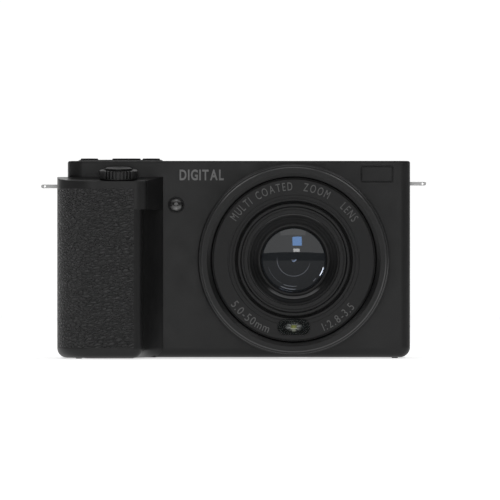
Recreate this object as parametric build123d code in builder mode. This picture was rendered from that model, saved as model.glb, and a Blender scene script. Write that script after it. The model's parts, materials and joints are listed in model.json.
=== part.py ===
from build123d import *

import os
from math import acos, cos, pi, radians, sin, sqrt, tan

# Compact digital camera with a retractable zoom lens, as an assembly of separate pieces.
# Millimetres. +Z is up, the lens looks along -Y, and +X is to the right as seen from the front.
# The origin is at the middle of the camera's bounding box, on the surface that its feet stand on.

os.makedirs("parts", exist_ok=True)

# ------------------------------------------------------------------ driving dimensions
# body envelope
BODY_RIGHT = 59.2
SHELL_LEFT = -55.7
FOOT_HEIGHT = 0.3
BODY_BOTTOM = FOOT_HEIGHT
BODY_TOP = 66.15
BODY_FRONT = -8.0
BODY_REAR = 20.0
COVER_SEAM = 9.0
WALL = 1.5
FLOOR_WALL = 2.0
CORNER_RADIUS = 3.5
FRONT_RADIUS = 3.2
REAR_RADIUS = 2.5
TOP_RADIUS = 0.7
SHOULDER_RADIUS = 5.0

# inside of the covers
CAVITY_LEFT = SHELL_LEFT + WALL
CAVITY_RIGHT = BODY_RIGHT - WALL
CAVITY_FRONT = BODY_FRONT + WALL
CAVITY_REAR = BODY_REAR - WALL
CAVITY_FLOOR = BODY_BOTTOM + FLOOR_WALL
CAVITY_TOP = BODY_TOP - WALL

# top cover and its raised key platform
TOP_RIM = 2.0
TOP_SEAM_GAP = 0.08
PLATFORM_LEFT = -52.4
PLATFORM_RIGHT = -23.6
PLATFORM_HEIGHT = 0.45
PLATFORM_TOP = BODY_TOP + PLATFORM_HEIGHT
KEY_ROW_Y = 4.5
KEY_TOP = 67.1
KEY_GAP = 0.12
TOP_KEY_FLANGE = 0.25
REAR_KEY_FLANGE = 0.5

# hand grip
GRIP_LEFT = -59.0
GRIP_RIGHT = -23.6
GRIP_FRONT = -22.0
GRIP_TOP = 60.75
GRIP_BAND_REAR = 16.5
GRIP_SIDE_RADIUS = 11.6
GRIP_TILT = 6.5
FINGER_LEDGE = 49.8
GRIP_BOTTOM_RADIUS = 3.2
SKIN = 0.6
SKIN_BOTTOM = 3.7
SKIN_TOP = 56.7
SKIN_RIGHT = -33.2
SKIN_REAR = 12.5

# shutter button and the zoom lever ring around it
SHUTTER_X = -38.37
SHUTTER_Y = -15.0
SHUTTER_RADIUS = 4.5
LEVER_RADIUS = 6.36
LEVER_HEIGHT = 3.05
LEVER_GROOVES = 8
LEVER_GROOVE_PITCH = 11.0
LEVER_GROOVE_WIDTH = 0.62
LEVER_GROOVE_DEPTH = 0.75

# lens, all on one axis; heights are counted forwards from the body's front face
LENS_X = 20.09
LENS_Z = 33.09
COLLAR_RADIUS = 32.1
CONTROL_RADIUS = 31.6
CONTROL_FRONT = 9.5
KNURL_COUNT = 96
TUBE_RADIUS = 27.3
FACE_RADIUS = 26.9
FACE_BORE = 19.55
FACE_FRONT = 8.6
BARREL_1_RADIUS = 18.75
BARREL_2_RADIUS = 17.6
BARREL_FRONT = 8.9
GLASS_RADIUS = 10.75
SLEEVE_BORE = 18.85
SLEEVE_RADIUS = 20.6
SLEEVE_REAR = -16.0
CAM_BORE = 20.66
CAM_RADIUS = 22.2
CAM_TURN = 120.0
BARREL_1_TRAVEL = 12.0
PIN_RADIUS = 0.9
PIN_HEIGHT = -10.5

# zoom gears: the toothed sector of the cam ring and the motor's pinion
GEAR_MODULE = 0.5
CAM_TEETH = 96
PINION_TEETH = 12
SECTOR_TEETH = 38
PRESSURE_ANGLE = 20.0
BACKLASH = 0.14
PINION_DIRECTION = 215.0
GEAR_REAR = -15.6
GEAR_FRONT = -12.9

# flash lamp window in the lens face ring
FLASH_Z = 10.6
FLASH_LENGTH = 11.0
FLASH_WIDTH = 5.4

# assist lamp and the flush front window
LAMP_X = -19.25
LAMP_Z = 51.4
LAMP_RADIUS = 2.68
WINDOW_X = 48.0
WINDOW_Z = 61.7
WINDOW_WIDTH = 10.9
WINDOW_HEIGHT = 5.6
WINDOW_GROOVE = 0.4

# battery bay
DOOR_LEFT = -50.1
DOOR_RIGHT = -33.5
DOOR_FRONT = -16.4
DOOR_REAR = 13.0
DOOR_BOTTOM = 0.15
DOOR_TOP = 2.15
DOOR_GAP = 0.15
BAY_LEFT = -49.6
BAY_RIGHT = -34.2
BAY_FRONT = -16.2
BAY_REAR = 12.8
BAY_TOP = 44.0

# side port door
PORT_BOTTOM = 10.0
PORT_TOP = 54.0
PORT_FRONT = -3.8
PORT_REAR = 7.8

# screen and rear controls
GLASS_LEFT = -22.0
GLASS_RIGHT = 52.0
GLASS_BOTTOM = 5.5
GLASS_TOP = 60.5
GLASS_REAR = 20.25
GLASS_SEAT = 19.1
VIEW_MARGIN = 3.6
NAV_X = -38.5
NAV_Z = 24.0
NAV_RADIUS = 10.2
OK_RADIUS = 4.2
REAR_KEY_RADIUS = 2.5
REAR_KEY_Z = 41.5
MENU_X = -31.0
PLAY_X = -46.0
THUMB_REAR = 22.0

# strap lugs
LUG_TIP = 64.75
LUG_Y = 4.0
LUG_HEIGHT = 1.2
LUG_DEPTH = 5.0
LUG_HOLE_RADIUS = 0.42
LUG_LEFT_Z = 57.7
LUG_RIGHT_Z = 58.6

# tripod socket under the lens, quarter-inch screw
TRIPOD_Y = 3.5
TRIPOD_RADIUS = 3.2
TRIPOD_OUTER = 5.0
TRIPOD_DEPTH = 5.5

# feet: two on the right, one beside and one behind the battery door
FOOT_RADIUS = 1.05
FEET = [(-51.7, -12.0), (-38.5, 15.6), (54.1, -3.0), (54.1, 15.0)]

# ------------------------------------------------------------------ frames and helpers
LENS = Plane(origin=(LENS_X, BODY_FRONT, LENS_Z), x_dir=(1, 0, 0), z_dir=(0, -1, 0))
GRIP_DROP = (BODY_FRONT - SHUTTER_Y) * tan(radians(GRIP_TILT))
SHUTTER = Plane(
    origin=(SHUTTER_X, SHUTTER_Y, GRIP_TOP - GRIP_DROP),
    x_dir=(1, 0, 0),
    z_dir=(0, -sin(radians(GRIP_TILT)), cos(radians(GRIP_TILT))),
)
ASSIST = Plane(origin=(LAMP_X, BODY_FRONT, LAMP_Z), x_dir=(1, 0, 0), z_dir=(0, -1, 0))


def axis_of(plane):
    """The axis along a plane's normal, through its origin."""
    return Axis(plane.origin, plane.z_dir)


def half_section(plane, *points):
    """A closed half-section for a turned piece: each point is (radius, height along the normal)."""
    with BuildSketch(Plane(plane.origin, x_dir=plane.x_dir, z_dir=-plane.y_dir)) as half:
        with BuildLine():
            Polyline(*points, close=True)
        make_face()
    return half.sketch


def lens_element(radius, back, front, back_sag, front_sag):
    """Half-section of a lens: flat-edged, with each face bulging by its sag at the middle."""

    def on_face(level, sag, share):
        big = (radius**2 + sag**2) / (2 * abs(sag))
        rise = sqrt(big**2 - (share * radius) ** 2) - (big - abs(sag))
        return (share * radius, level + (rise if sag > 0 else -rise))

    with BuildSketch(Plane(LENS.origin, x_dir=LENS.x_dir, z_dir=-LENS.y_dir)) as half:
        with BuildLine():
            Line((0, back + back_sag), (0, front + front_sag))
            ThreePointArc((0, front + front_sag), on_face(front, front_sag, 0.5), (radius, front))
            Line((radius, front), (radius, back))
            ThreePointArc((radius, back), on_face(back, back_sag, 0.5), (0, back + back_sag))
        make_face()
    return half.sketch


def span(low, high):
    """A rectangle from one corner (low) to the opposite one (high)."""
    with BuildSketch() as area:
        with Locations(((low[0] + high[0]) / 2, (low[1] + high[1]) / 2)):
            Rectangle(high[0] - low[0], high[1] - low[1])
    return area.sketch


def block(low, high):
    """A plain box between two opposite corners, to be added or cut."""
    middle = [(a + b) / 2 for a, b in zip(low, high)]
    sizes = [b - a for a, b in zip(low, high)]
    return Pos(*middle) * Box(*sizes, mode=Mode.PRIVATE)


def facing_front(y):
    """A plane at depth y, seen from the front: x is +X, y is +Z, and the normal is -Y."""
    return Plane.XZ.offset(-y)


def facing_rear(y):
    """A plane at depth y with its normal along +Y; local x is -X and local y is +Z."""
    return Plane(origin=(0, y, 0), x_dir=(-1, 0, 0), z_dir=(0, 1, 0))


def grip_outline(scooped):
    """The grip in plan: crowned front, wide left curve and the band around the left side."""
    side_start = GRIP_FRONT + GRIP_SIDE_RADIUS
    curve_end = GRIP_LEFT + GRIP_SIDE_RADIUS
    diagonal = GRIP_SIDE_RADIUS * sin(pi / 4)
    curve_mid = (curve_end - diagonal, side_start - diagonal)
    band_radius = 3.0
    with BuildLine() as line:
        Line((SHELL_LEFT, GRIP_BAND_REAR), (GRIP_LEFT + band_radius, GRIP_BAND_REAR))
        RadiusArc(
            (GRIP_LEFT + band_radius, GRIP_BAND_REAR),
            (GRIP_LEFT, GRIP_BAND_REAR - band_radius),
            -band_radius,
        )
        Line((GRIP_LEFT, GRIP_BAND_REAR - band_radius), (GRIP_LEFT, side_start))
        ThreePointArc((GRIP_LEFT, side_start), curve_mid, (curve_end, GRIP_FRONT))
        if scooped:
            Line((curve_end, GRIP_FRONT), (-33.6, GRIP_FRONT))
            ThreePointArc((-33.6, GRIP_FRONT), (-31.3, -21.05), (-30.3, -18.8))
            ThreePointArc((-30.3, -18.8), (-28.3, -12.9), (GRIP_RIGHT, BODY_FRONT))
        else:
            Line((curve_end, GRIP_FRONT), (-32.2, GRIP_FRONT))
            ThreePointArc((-32.2, GRIP_FRONT), (-29.8, -21.0), (-28.5, -18.8))
            Line((-28.5, -18.8), (GRIP_RIGHT, BODY_FRONT))
        Polyline((GRIP_RIGHT, BODY_FRONT), (SHELL_LEFT, BODY_FRONT), (SHELL_LEFT, GRIP_BAND_REAR))
    return line.line


def tooth(teeth, turn):
    """One involute tooth, sunk slightly into its blank, thinned by the backlash and turned about the axis."""
    pitch = GEAR_MODULE * teeth / 2
    base = pitch * cos(radians(PRESSURE_ANGLE))
    root = pitch - 1.25 * GEAR_MODULE
    tip = pitch + 0.95 * GEAR_MODULE

    def involute(angle):
        return tan(angle) - angle

    flank = []
    for share in (0.0, 0.35, 0.7, 1.0):
        radius = root + share * (tip - root)
        roll = acos(base / radius) if radius > base else 0.0
        half = pi / (2 * teeth) - BACKLASH / (2 * pitch)
        half += involute(radians(PRESSURE_ANGLE)) - involute(roll)
        flank.append((radius * cos(half), radius * sin(half)))
    flank.insert(0, (root - 0.15, flank[0][1]))
    mirrored = [(x, -y) for x, y in reversed(flank)]
    return Polygon(*flank, *mirrored, align=None, rotation=turn)


# ------------------------------------------------------------------ body envelope shared by the covers
with BuildPart() as envelope:
    with BuildSketch(facing_front(BODY_REAR)):
        add(span((SHELL_LEFT, BODY_BOTTOM), (BODY_RIGHT, BODY_TOP)))
    extrude(amount=BODY_REAR - BODY_FRONT)
    lower_edges = envelope.edges().filter_by(Axis.Y).group_by(Axis.Z)[0]
    fillet(lower_edges, CORNER_RADIUS)
    for face_side, radius in ((0, FRONT_RADIUS), (-1, REAR_RADIUS)):
        rim = envelope.faces().sort_by(Axis.Y)[face_side].edges()
        fillet(rim.sort_by(Axis.Z)[:-1], radius)
    # above the grip the left corner has a larger radius
    shoulder = Plane.XY.offset(GRIP_TOP - 1.0)
    with BuildSketch(shoulder):
        shoulder_axis = (SHELL_LEFT + SHOULDER_RADIUS, BODY_FRONT + SHOULDER_RADIUS)
        add(span((SHELL_LEFT - 1, BODY_FRONT - 1), shoulder_axis))
        with Locations(shoulder_axis):
            Circle(SHOULDER_RADIUS, mode=Mode.SUBTRACT)
    extrude(amount=BODY_TOP, mode=Mode.SUBTRACT)
    fillet(envelope.faces().sort_by(Axis.Z)[-1].edges(), TOP_RADIUS)

with BuildPart() as cavity:
    add(block((CAVITY_LEFT, CAVITY_FRONT, CAVITY_FLOOR), (CAVITY_RIGHT, CAVITY_REAR, CAVITY_TOP)))
    fillet(cavity.edges().filter_by(Axis.Z), WALL)

TOP_OPENING = (
    (SHELL_LEFT + TOP_RIM, BODY_FRONT + TOP_RIM),
    (BODY_RIGHT - TOP_RIM, BODY_REAR - TOP_RIM),
)
with BuildPart() as top_opening:
    with BuildSketch(Plane.XY.offset(CAVITY_TOP - 1)):
        add(span(*TOP_OPENING))
    extrude(amount=WALL + 3)
    fillet(top_opening.edges().filter_by(Axis.Z), 2.0)

with BuildPart() as door_opening:
    add(
        block(
            (DOOR_LEFT - DOOR_GAP, DOOR_FRONT - DOOR_GAP, -1),
            (DOOR_RIGHT + DOOR_GAP, DOOR_REAR + DOOR_GAP, CAVITY_FLOOR + 1),
        )
    )

# pins of the battery door run in holes in the floor walls ahead of it and behind it
DOOR_PIN_X = DOOR_LEFT + 1.0
DOOR_PIN_Z = DOOR_BOTTOM + 1.0
DOOR_PIN_RADIUS = 0.5
DOOR_PIN_REACH = 1.1
with BuildPart() as door_pin_hole:
    with BuildSketch(facing_front(DOOR_REAR + DOOR_PIN_REACH + 0.1)):
        with Locations((DOOR_PIN_X, DOOR_PIN_Z)):
            Circle(DOOR_PIN_RADIUS + 0.05)
    extrude(amount=DOOR_REAR - DOOR_FRONT + 2 * DOOR_PIN_REACH + 0.2)

with BuildPart() as tripod_hole:
    with BuildSketch(Plane.XY.offset(-1)):
        with Locations((LENS_X, TRIPOD_Y)):
            Circle(TRIPOD_OUTER)
    extrude(amount=CAVITY_FLOOR + 2)

SCREWS = [(-14.0, 4.0), (4.0, 4.0), (38.0, 4.0), (48.0, 14.0)]
SCREW_HEAD = 1.6
SCREW_SHANK = 0.8
with BuildPart() as screw_pockets:
    with BuildSketch(Plane.XY.offset(BODY_BOTTOM)):
        with Locations(*SCREWS):
            Circle(SCREW_HEAD + 0.1)
    extrude(amount=0.9)
    with BuildSketch(Plane.XY.offset(BODY_BOTTOM)):
        with Locations(*SCREWS):
            Circle(SCREW_SHANK)
    extrude(amount=FLOOR_WALL + 0.5)


def lug_slot(z, left, right):
    """The slot that a strap lug passes through."""
    half_height = LUG_HEIGHT / 2 + 0.05
    half_depth = LUG_DEPTH / 2 + 0.05
    return block((left, LUG_Y - half_depth, z - half_height), (right, LUG_Y + half_depth, z + half_height))


# ------------------------------------------------------------------ front cover
with BuildPart() as front_cover:
    add(envelope.part)
    # under the grip the corner stays square, so that the two mouldings meet face to face
    add(block((SHELL_LEFT, BODY_FRONT, BODY_BOTTOM), (GRIP_RIGHT - 2.5, BODY_FRONT + 5, GRIP_TOP - 0.1)))
    split(bisect_by=Plane.XZ.offset(-COVER_SEAM), keep=Keep.TOP)
    add(cavity.part, mode=Mode.SUBTRACT)
    add(top_opening.part, mode=Mode.SUBTRACT)
    add(door_opening.part, mode=Mode.SUBTRACT)
    add(tripod_hole.part, mode=Mode.SUBTRACT)
    add(screw_pockets.part, mode=Mode.SUBTRACT)
    # lens opening, assist lamp hole and the window pocket
    with BuildSketch(LENS):
        Circle(TUBE_RADIUS + 0.2)
    extrude(amount=-WALL - 1, mode=Mode.SUBTRACT)
    with BuildSketch(ASSIST):
        Circle(LAMP_RADIUS)
    extrude(amount=-WALL - 1, mode=Mode.SUBTRACT)
    with BuildSketch(facing_front(BODY_FRONT)):
        with Locations((WINDOW_X, WINDOW_Z)):
            RectangleRounded(WINDOW_WIDTH, WINDOW_HEIGHT, 0.6)
    extrude(amount=-1.0, mode=Mode.SUBTRACT)
    # room for the battery bay, which reaches into the grip
    add(block((CAVITY_LEFT, BODY_FRONT - 1, 3.2), (-28.5, CAVITY_FRONT + 1, 56.0)), mode=Mode.SUBTRACT)
    # port door opening with its pin holes, and the strap lug slots
    add(
        block(
            (CAVITY_RIGHT - 1, PORT_FRONT - DOOR_GAP, PORT_BOTTOM - DOOR_GAP),
            (BODY_RIGHT + 1, PORT_REAR + DOOR_GAP, PORT_TOP + DOOR_GAP),
        ),
        mode=Mode.SUBTRACT,
    )
    with BuildSketch(Plane.XY.offset(PORT_BOTTOM - 1.0)):
        with Locations((BODY_RIGHT - WALL / 2, PORT_REAR - WALL / 2)):
            Circle(0.45)
    extrude(amount=PORT_TOP - PORT_BOTTOM + 2.0, mode=Mode.SUBTRACT)
    add(lug_slot(LUG_RIGHT_Z, CAVITY_RIGHT - 1, BODY_RIGHT + 1), mode=Mode.SUBTRACT)
    add(lug_slot(LUG_LEFT_Z, SHELL_LEFT - 1, CAVITY_LEFT + 1), mode=Mode.SUBTRACT)
front_cover.part.label = "front_cover"
export_step(front_cover.part, "parts/front_cover.step")

# ------------------------------------------------------------------ rear cover
REAR_KEYS = [(MENU_X, REAR_KEY_Z), (PLAY_X, REAR_KEY_Z)]
THUMB_CENTRE = (-47.0, 52.6)
THUMB_SIZE = (13.0, 13.0)
with BuildPart() as rear_cover:
    add(envelope.part)
    split(bisect_by=Plane.XZ.offset(-COVER_SEAM), keep=Keep.BOTTOM)
    add(cavity.part, mode=Mode.SUBTRACT)
    add(top_opening.part, mode=Mode.SUBTRACT)
    add(door_opening.part, mode=Mode.SUBTRACT)
    add(door_pin_hole.part, mode=Mode.SUBTRACT)
    add(screw_pockets.part, mode=Mode.SUBTRACT)
    # recess for the cover glass, and the window that the screen shows through
    with BuildSketch(facing_front(BODY_REAR)):
        with Locations(((GLASS_LEFT + GLASS_RIGHT) / 2, (GLASS_BOTTOM + GLASS_TOP) / 2)):
            RectangleRounded(GLASS_RIGHT - GLASS_LEFT, GLASS_TOP - GLASS_BOTTOM, 2.0)
    extrude(amount=BODY_REAR - GLASS_SEAT, mode=Mode.SUBTRACT)
    add(
        block(
            (GLASS_LEFT + VIEW_MARGIN, CAVITY_REAR - 1, GLASS_BOTTOM + VIEW_MARGIN),
            (GLASS_RIGHT - VIEW_MARGIN, BODY_REAR, GLASS_TOP - VIEW_MARGIN),
        ),
        mode=Mode.SUBTRACT,
    )
    # holes for the pad and the keys
    with BuildSketch(facing_front(BODY_REAR + 1)):
        with Locations((NAV_X, NAV_Z)):
            Circle(NAV_RADIUS + KEY_GAP)
        with Locations(*REAR_KEYS):
            Circle(REAR_KEY_RADIUS + KEY_GAP)
    extrude(amount=WALL + 2, mode=Mode.SUBTRACT)
rear_cover.part.label = "rear_cover"
export_step(rear_cover.part, "parts/rear_cover.step")

# ------------------------------------------------------------------ top cover with the key platform
POWER_X = -48.6
STATUS_X = -43.28
RECORD_X = -36.12
MODE_X = -27.77
POWER_RADIUS = 2.95
MODE_RADIUS = 2.95
RECORD_SIZE = (9.57, 4.6)
STATUS_SIZE = (3.8, 1.8)
MIC_HOLES = [(8.0, 4.5), (32.0, 4.5)]
SPEAKER = (45.5, 5.0)
with BuildPart() as top_cover:
    with BuildSketch(Plane.XY.offset(CAVITY_TOP)):
        add(span(*TOP_OPENING))
        fillet(vertices(), 2.0)
        offset(amount=-TOP_SEAM_GAP)
    extrude(amount=WALL)
    chamfer(top_cover.faces().sort_by(Axis.Z)[-1].edges(), 0.12)
    with BuildSketch(Plane.XY.offset(BODY_TOP)):
        add(span((PLATFORM_LEFT, -3.0), (PLATFORM_RIGHT, 12.0)))
        fillet(vertices(), 3.0)
    extrude(amount=PLATFORM_HEIGHT, taper=50)
    with BuildSketch(Plane.XY.offset(PLATFORM_TOP + 1)):
        with Locations((POWER_X, KEY_ROW_Y)):
            Circle(POWER_RADIUS + KEY_GAP)
        with Locations((MODE_X, KEY_ROW_Y)):
            Circle(MODE_RADIUS + KEY_GAP)
        with Locations((RECORD_X, KEY_ROW_Y)):
            SlotOverall(RECORD_SIZE[0] + 2 * KEY_GAP, RECORD_SIZE[1] + 2 * KEY_GAP)
        with Locations((STATUS_X, KEY_ROW_Y)):
            SlotOverall(*STATUS_SIZE)
    extrude(amount=-WALL - 3, mode=Mode.SUBTRACT)
    # microphone and speaker holes
    with BuildSketch(Plane.XY.offset(BODY_TOP + 1)):
        with Locations(*MIC_HOLES):
            Circle(0.5)
        with Locations(SPEAKER):
            with GridLocations(2.2, 2.2, 3, 3):
                Circle(0.55)
    extrude(amount=-WALL - 3, mode=Mode.SUBTRACT)
top_cover.part.label = "top_cover"
export_step(top_cover.part, "parts/top_cover.step")

# ------------------------------------------------------------------ hand grip and its leather-grained skin
GRIP_CUT = Plane(
    origin=(0, BODY_FRONT, GRIP_TOP),
    x_dir=(1, 0, 0),
    z_dir=(0, -sin(radians(GRIP_TILT)), cos(radians(GRIP_TILT))),
)
with BuildPart() as grip_solid:
    with BuildSketch(Plane.XY.offset(BODY_BOTTOM)):
        make_face(grip_outline(scooped=True).edges())
    extrude(amount=FINGER_LEDGE - BODY_BOTTOM)
    # the bottom edge is rounded along the sides that don't meet the front cover
    bottom_rim = grip_solid.faces().sort_by(Axis.Z)[0].edges()
    front_rim = [edge for edge in bottom_rim if edge.center().Y < BODY_FRONT - 0.5]
    side_rim = [
        edge
        for edge in bottom_rim
        if edge.center().X < SHELL_LEFT - 0.01 and BODY_FRONT < edge.center().Y < GRIP_BAND_REAR - 0.01
    ]
    fillet(front_rim + side_rim, GRIP_BOTTOM_RADIUS)
    with BuildSketch(Plane.XY.offset(FINGER_LEDGE)):
        make_face(grip_outline(scooped=False).edges())
    extrude(amount=GRIP_TOP - FINGER_LEDGE)
    split(bisect_by=GRIP_CUT, keep=Keep.BOTTOM)

with BuildPart() as skin_core:
    with BuildSketch(Plane.XY.offset(BODY_BOTTOM)):
        make_face(grip_outline(scooped=True).edges())
        offset(amount=-SKIN)
    extrude(amount=GRIP_TOP)

with BuildPart() as grip_leatherette:
    add(grip_solid.part)
    add(skin_core.part, mode=Mode.SUBTRACT)
    add(
        block((-60, -23, SKIN_BOTTOM), (SKIN_RIGHT, SKIN_REAR, SKIN_TOP))
        - block((SHELL_LEFT - SKIN, BODY_FRONT - SKIN, 0), (0, SKIN_REAR + 1, GRIP_TOP)),
        mode=Mode.INTERSECT,
    )
grip_leatherette.part.label = "grip_leatherette"
export_step(grip_leatherette.part, "parts/grip_leatherette.step")

with BuildPart() as grip_shell:
    add(grip_solid.part)
    add(grip_leatherette.part, mode=Mode.SUBTRACT)
    # hollow for the battery bay
    with BuildSketch(Plane.XY.offset(CAVITY_FLOOR + 0.3)):
        Polygon(
            (-54.0, BODY_FRONT),
            (-54.0, -11.0),
            (-51.5, -17.0),
            (-47.4, -19.8),
            (-34.0, -19.8),
            (-32.0, -16.5),
            (-30.2, -12.0),
            (-28.5, BODY_FRONT),
            align=None,
        )
    extrude(amount=56.0 - CAVITY_FLOOR - 0.3, mode=Mode.SUBTRACT)
    add(door_opening.part, mode=Mode.SUBTRACT)
    add(door_pin_hole.part, mode=Mode.SUBTRACT)
    add(lug_slot(LUG_LEFT_Z, GRIP_LEFT - 1, SHELL_LEFT + 1), mode=Mode.SUBTRACT)
    # bore for the zoom lever's hub
    with BuildSketch(SHUTTER.offset(1)):
        Circle(3.7)
    extrude(amount=-8, mode=Mode.SUBTRACT)
grip_shell.part.label = "grip_shell"
export_step(grip_shell.part, "parts/grip_shell.step")

# ------------------------------------------------------------------ shutter button, zoom lever ring and their switch
HUB_RADIUS = 3.6
HUB_BORE = 2.2
STEM_RADIUS = 1.9
SHUTTER_TOP = 3.75
with BuildPart() as zoom_lever_ring:
    lever_section = half_section(
        SHUTTER,
        (HUB_BORE, -3.5),
        (HUB_RADIUS, -3.5),
        (HUB_RADIUS, 0.15),
        (LEVER_RADIUS - 0.2, 0.15),
        (LEVER_RADIUS, 0.35),
        (LEVER_RADIUS, LEVER_HEIGHT - 0.25),
        (LEVER_RADIUS - 0.25, LEVER_HEIGHT),
        (SHUTTER_RADIUS + 0.4, LEVER_HEIGHT),
        (SHUTTER_RADIUS + 0.2, LEVER_HEIGHT - 0.2),
        (SHUTTER_RADIUS + 0.2, 0.9),
        (HUB_BORE, 0.9),
    )
    revolve(lever_section, axis=axis_of(SHUTTER))
    # finger grooves across the front only
    first = -90 - LEVER_GROOVE_PITCH * (LEVER_GROOVES - 1) / 2
    with BuildSketch(SHUTTER.offset(0.5)):
        for groove in range(LEVER_GROOVES):
            with PolarLocations(LEVER_RADIUS, 1, first + groove * LEVER_GROOVE_PITCH):
                Rectangle(2 * LEVER_GROOVE_DEPTH, LEVER_GROOVE_WIDTH)
    extrude(amount=LEVER_HEIGHT, mode=Mode.SUBTRACT)
zoom_lever_ring.part.label = "zoom_lever_ring"
export_step(zoom_lever_ring.part, "parts/zoom_lever_ring.step")

with BuildPart() as shutter_button:
    button_section = half_section(
        SHUTTER,
        (0, -4.5),
        (STEM_RADIUS, -4.5),
        (STEM_RADIUS, 1.9),
        (SHUTTER_RADIUS - 0.1, 1.9),
        (SHUTTER_RADIUS, 2.0),
        (SHUTTER_RADIUS, SHUTTER_TOP - 0.35),
        (SHUTTER_RADIUS - 0.12, SHUTTER_TOP - 0.1),
        (SHUTTER_RADIUS - 0.4, SHUTTER_TOP),
        (SHUTTER_RADIUS - 0.9, SHUTTER_TOP - 0.05),
        (SHUTTER_RADIUS - 1.9, SHUTTER_TOP - 0.22),
        (SHUTTER_RADIUS - 3.1, SHUTTER_TOP - 0.32),
        (0, SHUTTER_TOP - 0.36),
    )
    revolve(button_section, axis=axis_of(SHUTTER))
shutter_button.part.label = "shutter_button"
export_step(shutter_button.part, "parts/shutter_button.step")

SPRING_RADIUS = 1.5
SPRING_WIRE = 0.2
SPRING_BOTTOM = -7.8
SPRING_TOP = -4.6
with BuildPart() as shutter_spring:
    with BuildLine() as coil:
        Helix(
            pitch=0.8,
            height=SPRING_TOP - SPRING_BOTTOM - 2 * SPRING_WIRE,
            radius=SPRING_RADIUS,
            center=SHUTTER.offset(SPRING_BOTTOM + SPRING_WIRE).origin,
            direction=SHUTTER.z_dir,
        )
    with BuildSketch(Plane(origin=coil.line @ 0, z_dir=coil.line % 0)):
        Circle(SPRING_WIRE)
    sweep(path=coil.line, is_frenet=True)
shutter_spring.part.label = "shutter_spring"
export_step(shutter_spring.part, "parts/shutter_spring.step")

with BuildPart() as shutter_switch:
    with BuildSketch(SHUTTER.offset(SPRING_BOTTOM - 1.6)):
        Rectangle(8.0, 6.4)
        fillet(vertices(), 0.6)
    extrude(amount=1.55)
shutter_switch.part.label = "shutter_switch"
export_step(shutter_switch.part, "parts/shutter_switch.step")

# ------------------------------------------------------------------ keys on the top platform
KEY_FLANGE_LOW = 63.7
KEY_FLANGE_HIGH = 64.55
KEY_STEM_LOW = 62.0


def top_key_body(outline, flange):
    """Extrude a key's cap and the retaining flange below it."""
    extrude(outline, amount=KEY_TOP - KEY_FLANGE_LOW)
    extrude(flange, amount=KEY_FLANGE_HIGH - KEY_FLANGE_LOW)


def key_sketch(x, shape, growth):
    """A top key's outline: a radius for a round key, or (length, width) for an oblong one."""
    with BuildSketch(Plane.XY.offset(KEY_FLANGE_LOW)) as outline:
        with Locations((x, KEY_ROW_Y)):
            if isinstance(shape, tuple):
                SlotOverall(shape[0] + 2 * growth, shape[1] + 2 * growth)
            else:
                Circle(shape + growth)
    return outline.sketch


for key_name, key_x, key_shape in (
    ("power_button", POWER_X, POWER_RADIUS),
    ("record_button", RECORD_X, RECORD_SIZE),
    ("mode_button", MODE_X, MODE_RADIUS),
):
    with BuildPart() as top_key:
        top_key_body(key_sketch(key_x, key_shape, 0), key_sketch(key_x, key_shape, TOP_KEY_FLANGE))
        with BuildSketch(Plane.XY.offset(KEY_STEM_LOW)):
            with Locations((key_x, KEY_ROW_Y)):
                Circle(1.0)
        extrude(amount=KEY_FLANGE_LOW - KEY_STEM_LOW)
        fillet(top_key.faces().sort_by(Axis.Z)[-1].edges(), 0.2)
    top_key.part.label = key_name
    export_step(top_key.part, f"parts/{key_name}.step")

with BuildPart() as status_lamp:
    with BuildSketch(Plane.XY.offset(CAVITY_TOP - 0.5)):
        with Locations((STATUS_X, KEY_ROW_Y)):
            SlotOverall(*STATUS_SIZE)
    extrude(amount=PLATFORM_TOP + 0.04 - CAVITY_TOP + 0.5)
status_lamp.part.label = "status_lamp"
export_step(status_lamp.part, "parts/status_lamp.step")

KEY_BOARD_TOP = 60.4
with BuildPart() as top_key_board:
    add(block((-52.8, 0.0, KEY_BOARD_TOP - 0.8), (-22.0, 2 * KEY_ROW_Y, KEY_BOARD_TOP)))
    with BuildSketch(Plane.XY.offset(KEY_BOARD_TOP)):
        with Locations((POWER_X, KEY_ROW_Y), (RECORD_X, KEY_ROW_Y), (MODE_X, KEY_ROW_Y)):
            Circle(1.8)
    extrude(amount=0.9, taper=25)
top_key_board.part.label = "top_key_board"
export_step(top_key_board.part, "parts/top_key_board.step")

with BuildPart() as microphones:
    with BuildSketch(Plane.XY.offset(CAVITY_TOP - 1.6)):
        with Locations(*MIC_HOLES):
            Circle(2.0)
    extrude(amount=1.6)
microphones.part.label = "microphones"
export_step(microphones.part, "parts/microphones.step")

with BuildPart() as speaker:
    with BuildSketch(Plane.XY.offset(CAVITY_TOP - 3.0)):
        with Locations(SPEAKER):
            Circle(5.5)
    extrude(amount=3.0)
    with BuildSketch(Plane.XY.offset(CAVITY_TOP - 1.0)):
        with Locations(SPEAKER):
            Circle(4.6)
    extrude(amount=1.0, mode=Mode.SUBTRACT)
speaker.part.label = "speaker"
export_step(speaker.part, "parts/speaker.step")

# ------------------------------------------------------------------ assist lamp and front window
with BuildPart() as af_lamp_bezel:
    bezel_section = half_section(
        ASSIST,
        (2.2, -2.6),
        (LAMP_RADIUS, -2.6),
        (LAMP_RADIUS, 0.0),
        (LAMP_RADIUS, 0.22),
        (LAMP_RADIUS - 0.18, 0.35),
        (2.35, 0.35),
        (2.2, 0.15),
    )
    revolve(bezel_section, axis=axis_of(ASSIST))
af_lamp_bezel.part.label = "af_lamp_bezel"
export_step(af_lamp_bezel.part, "parts/af_lamp_bezel.step")

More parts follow.
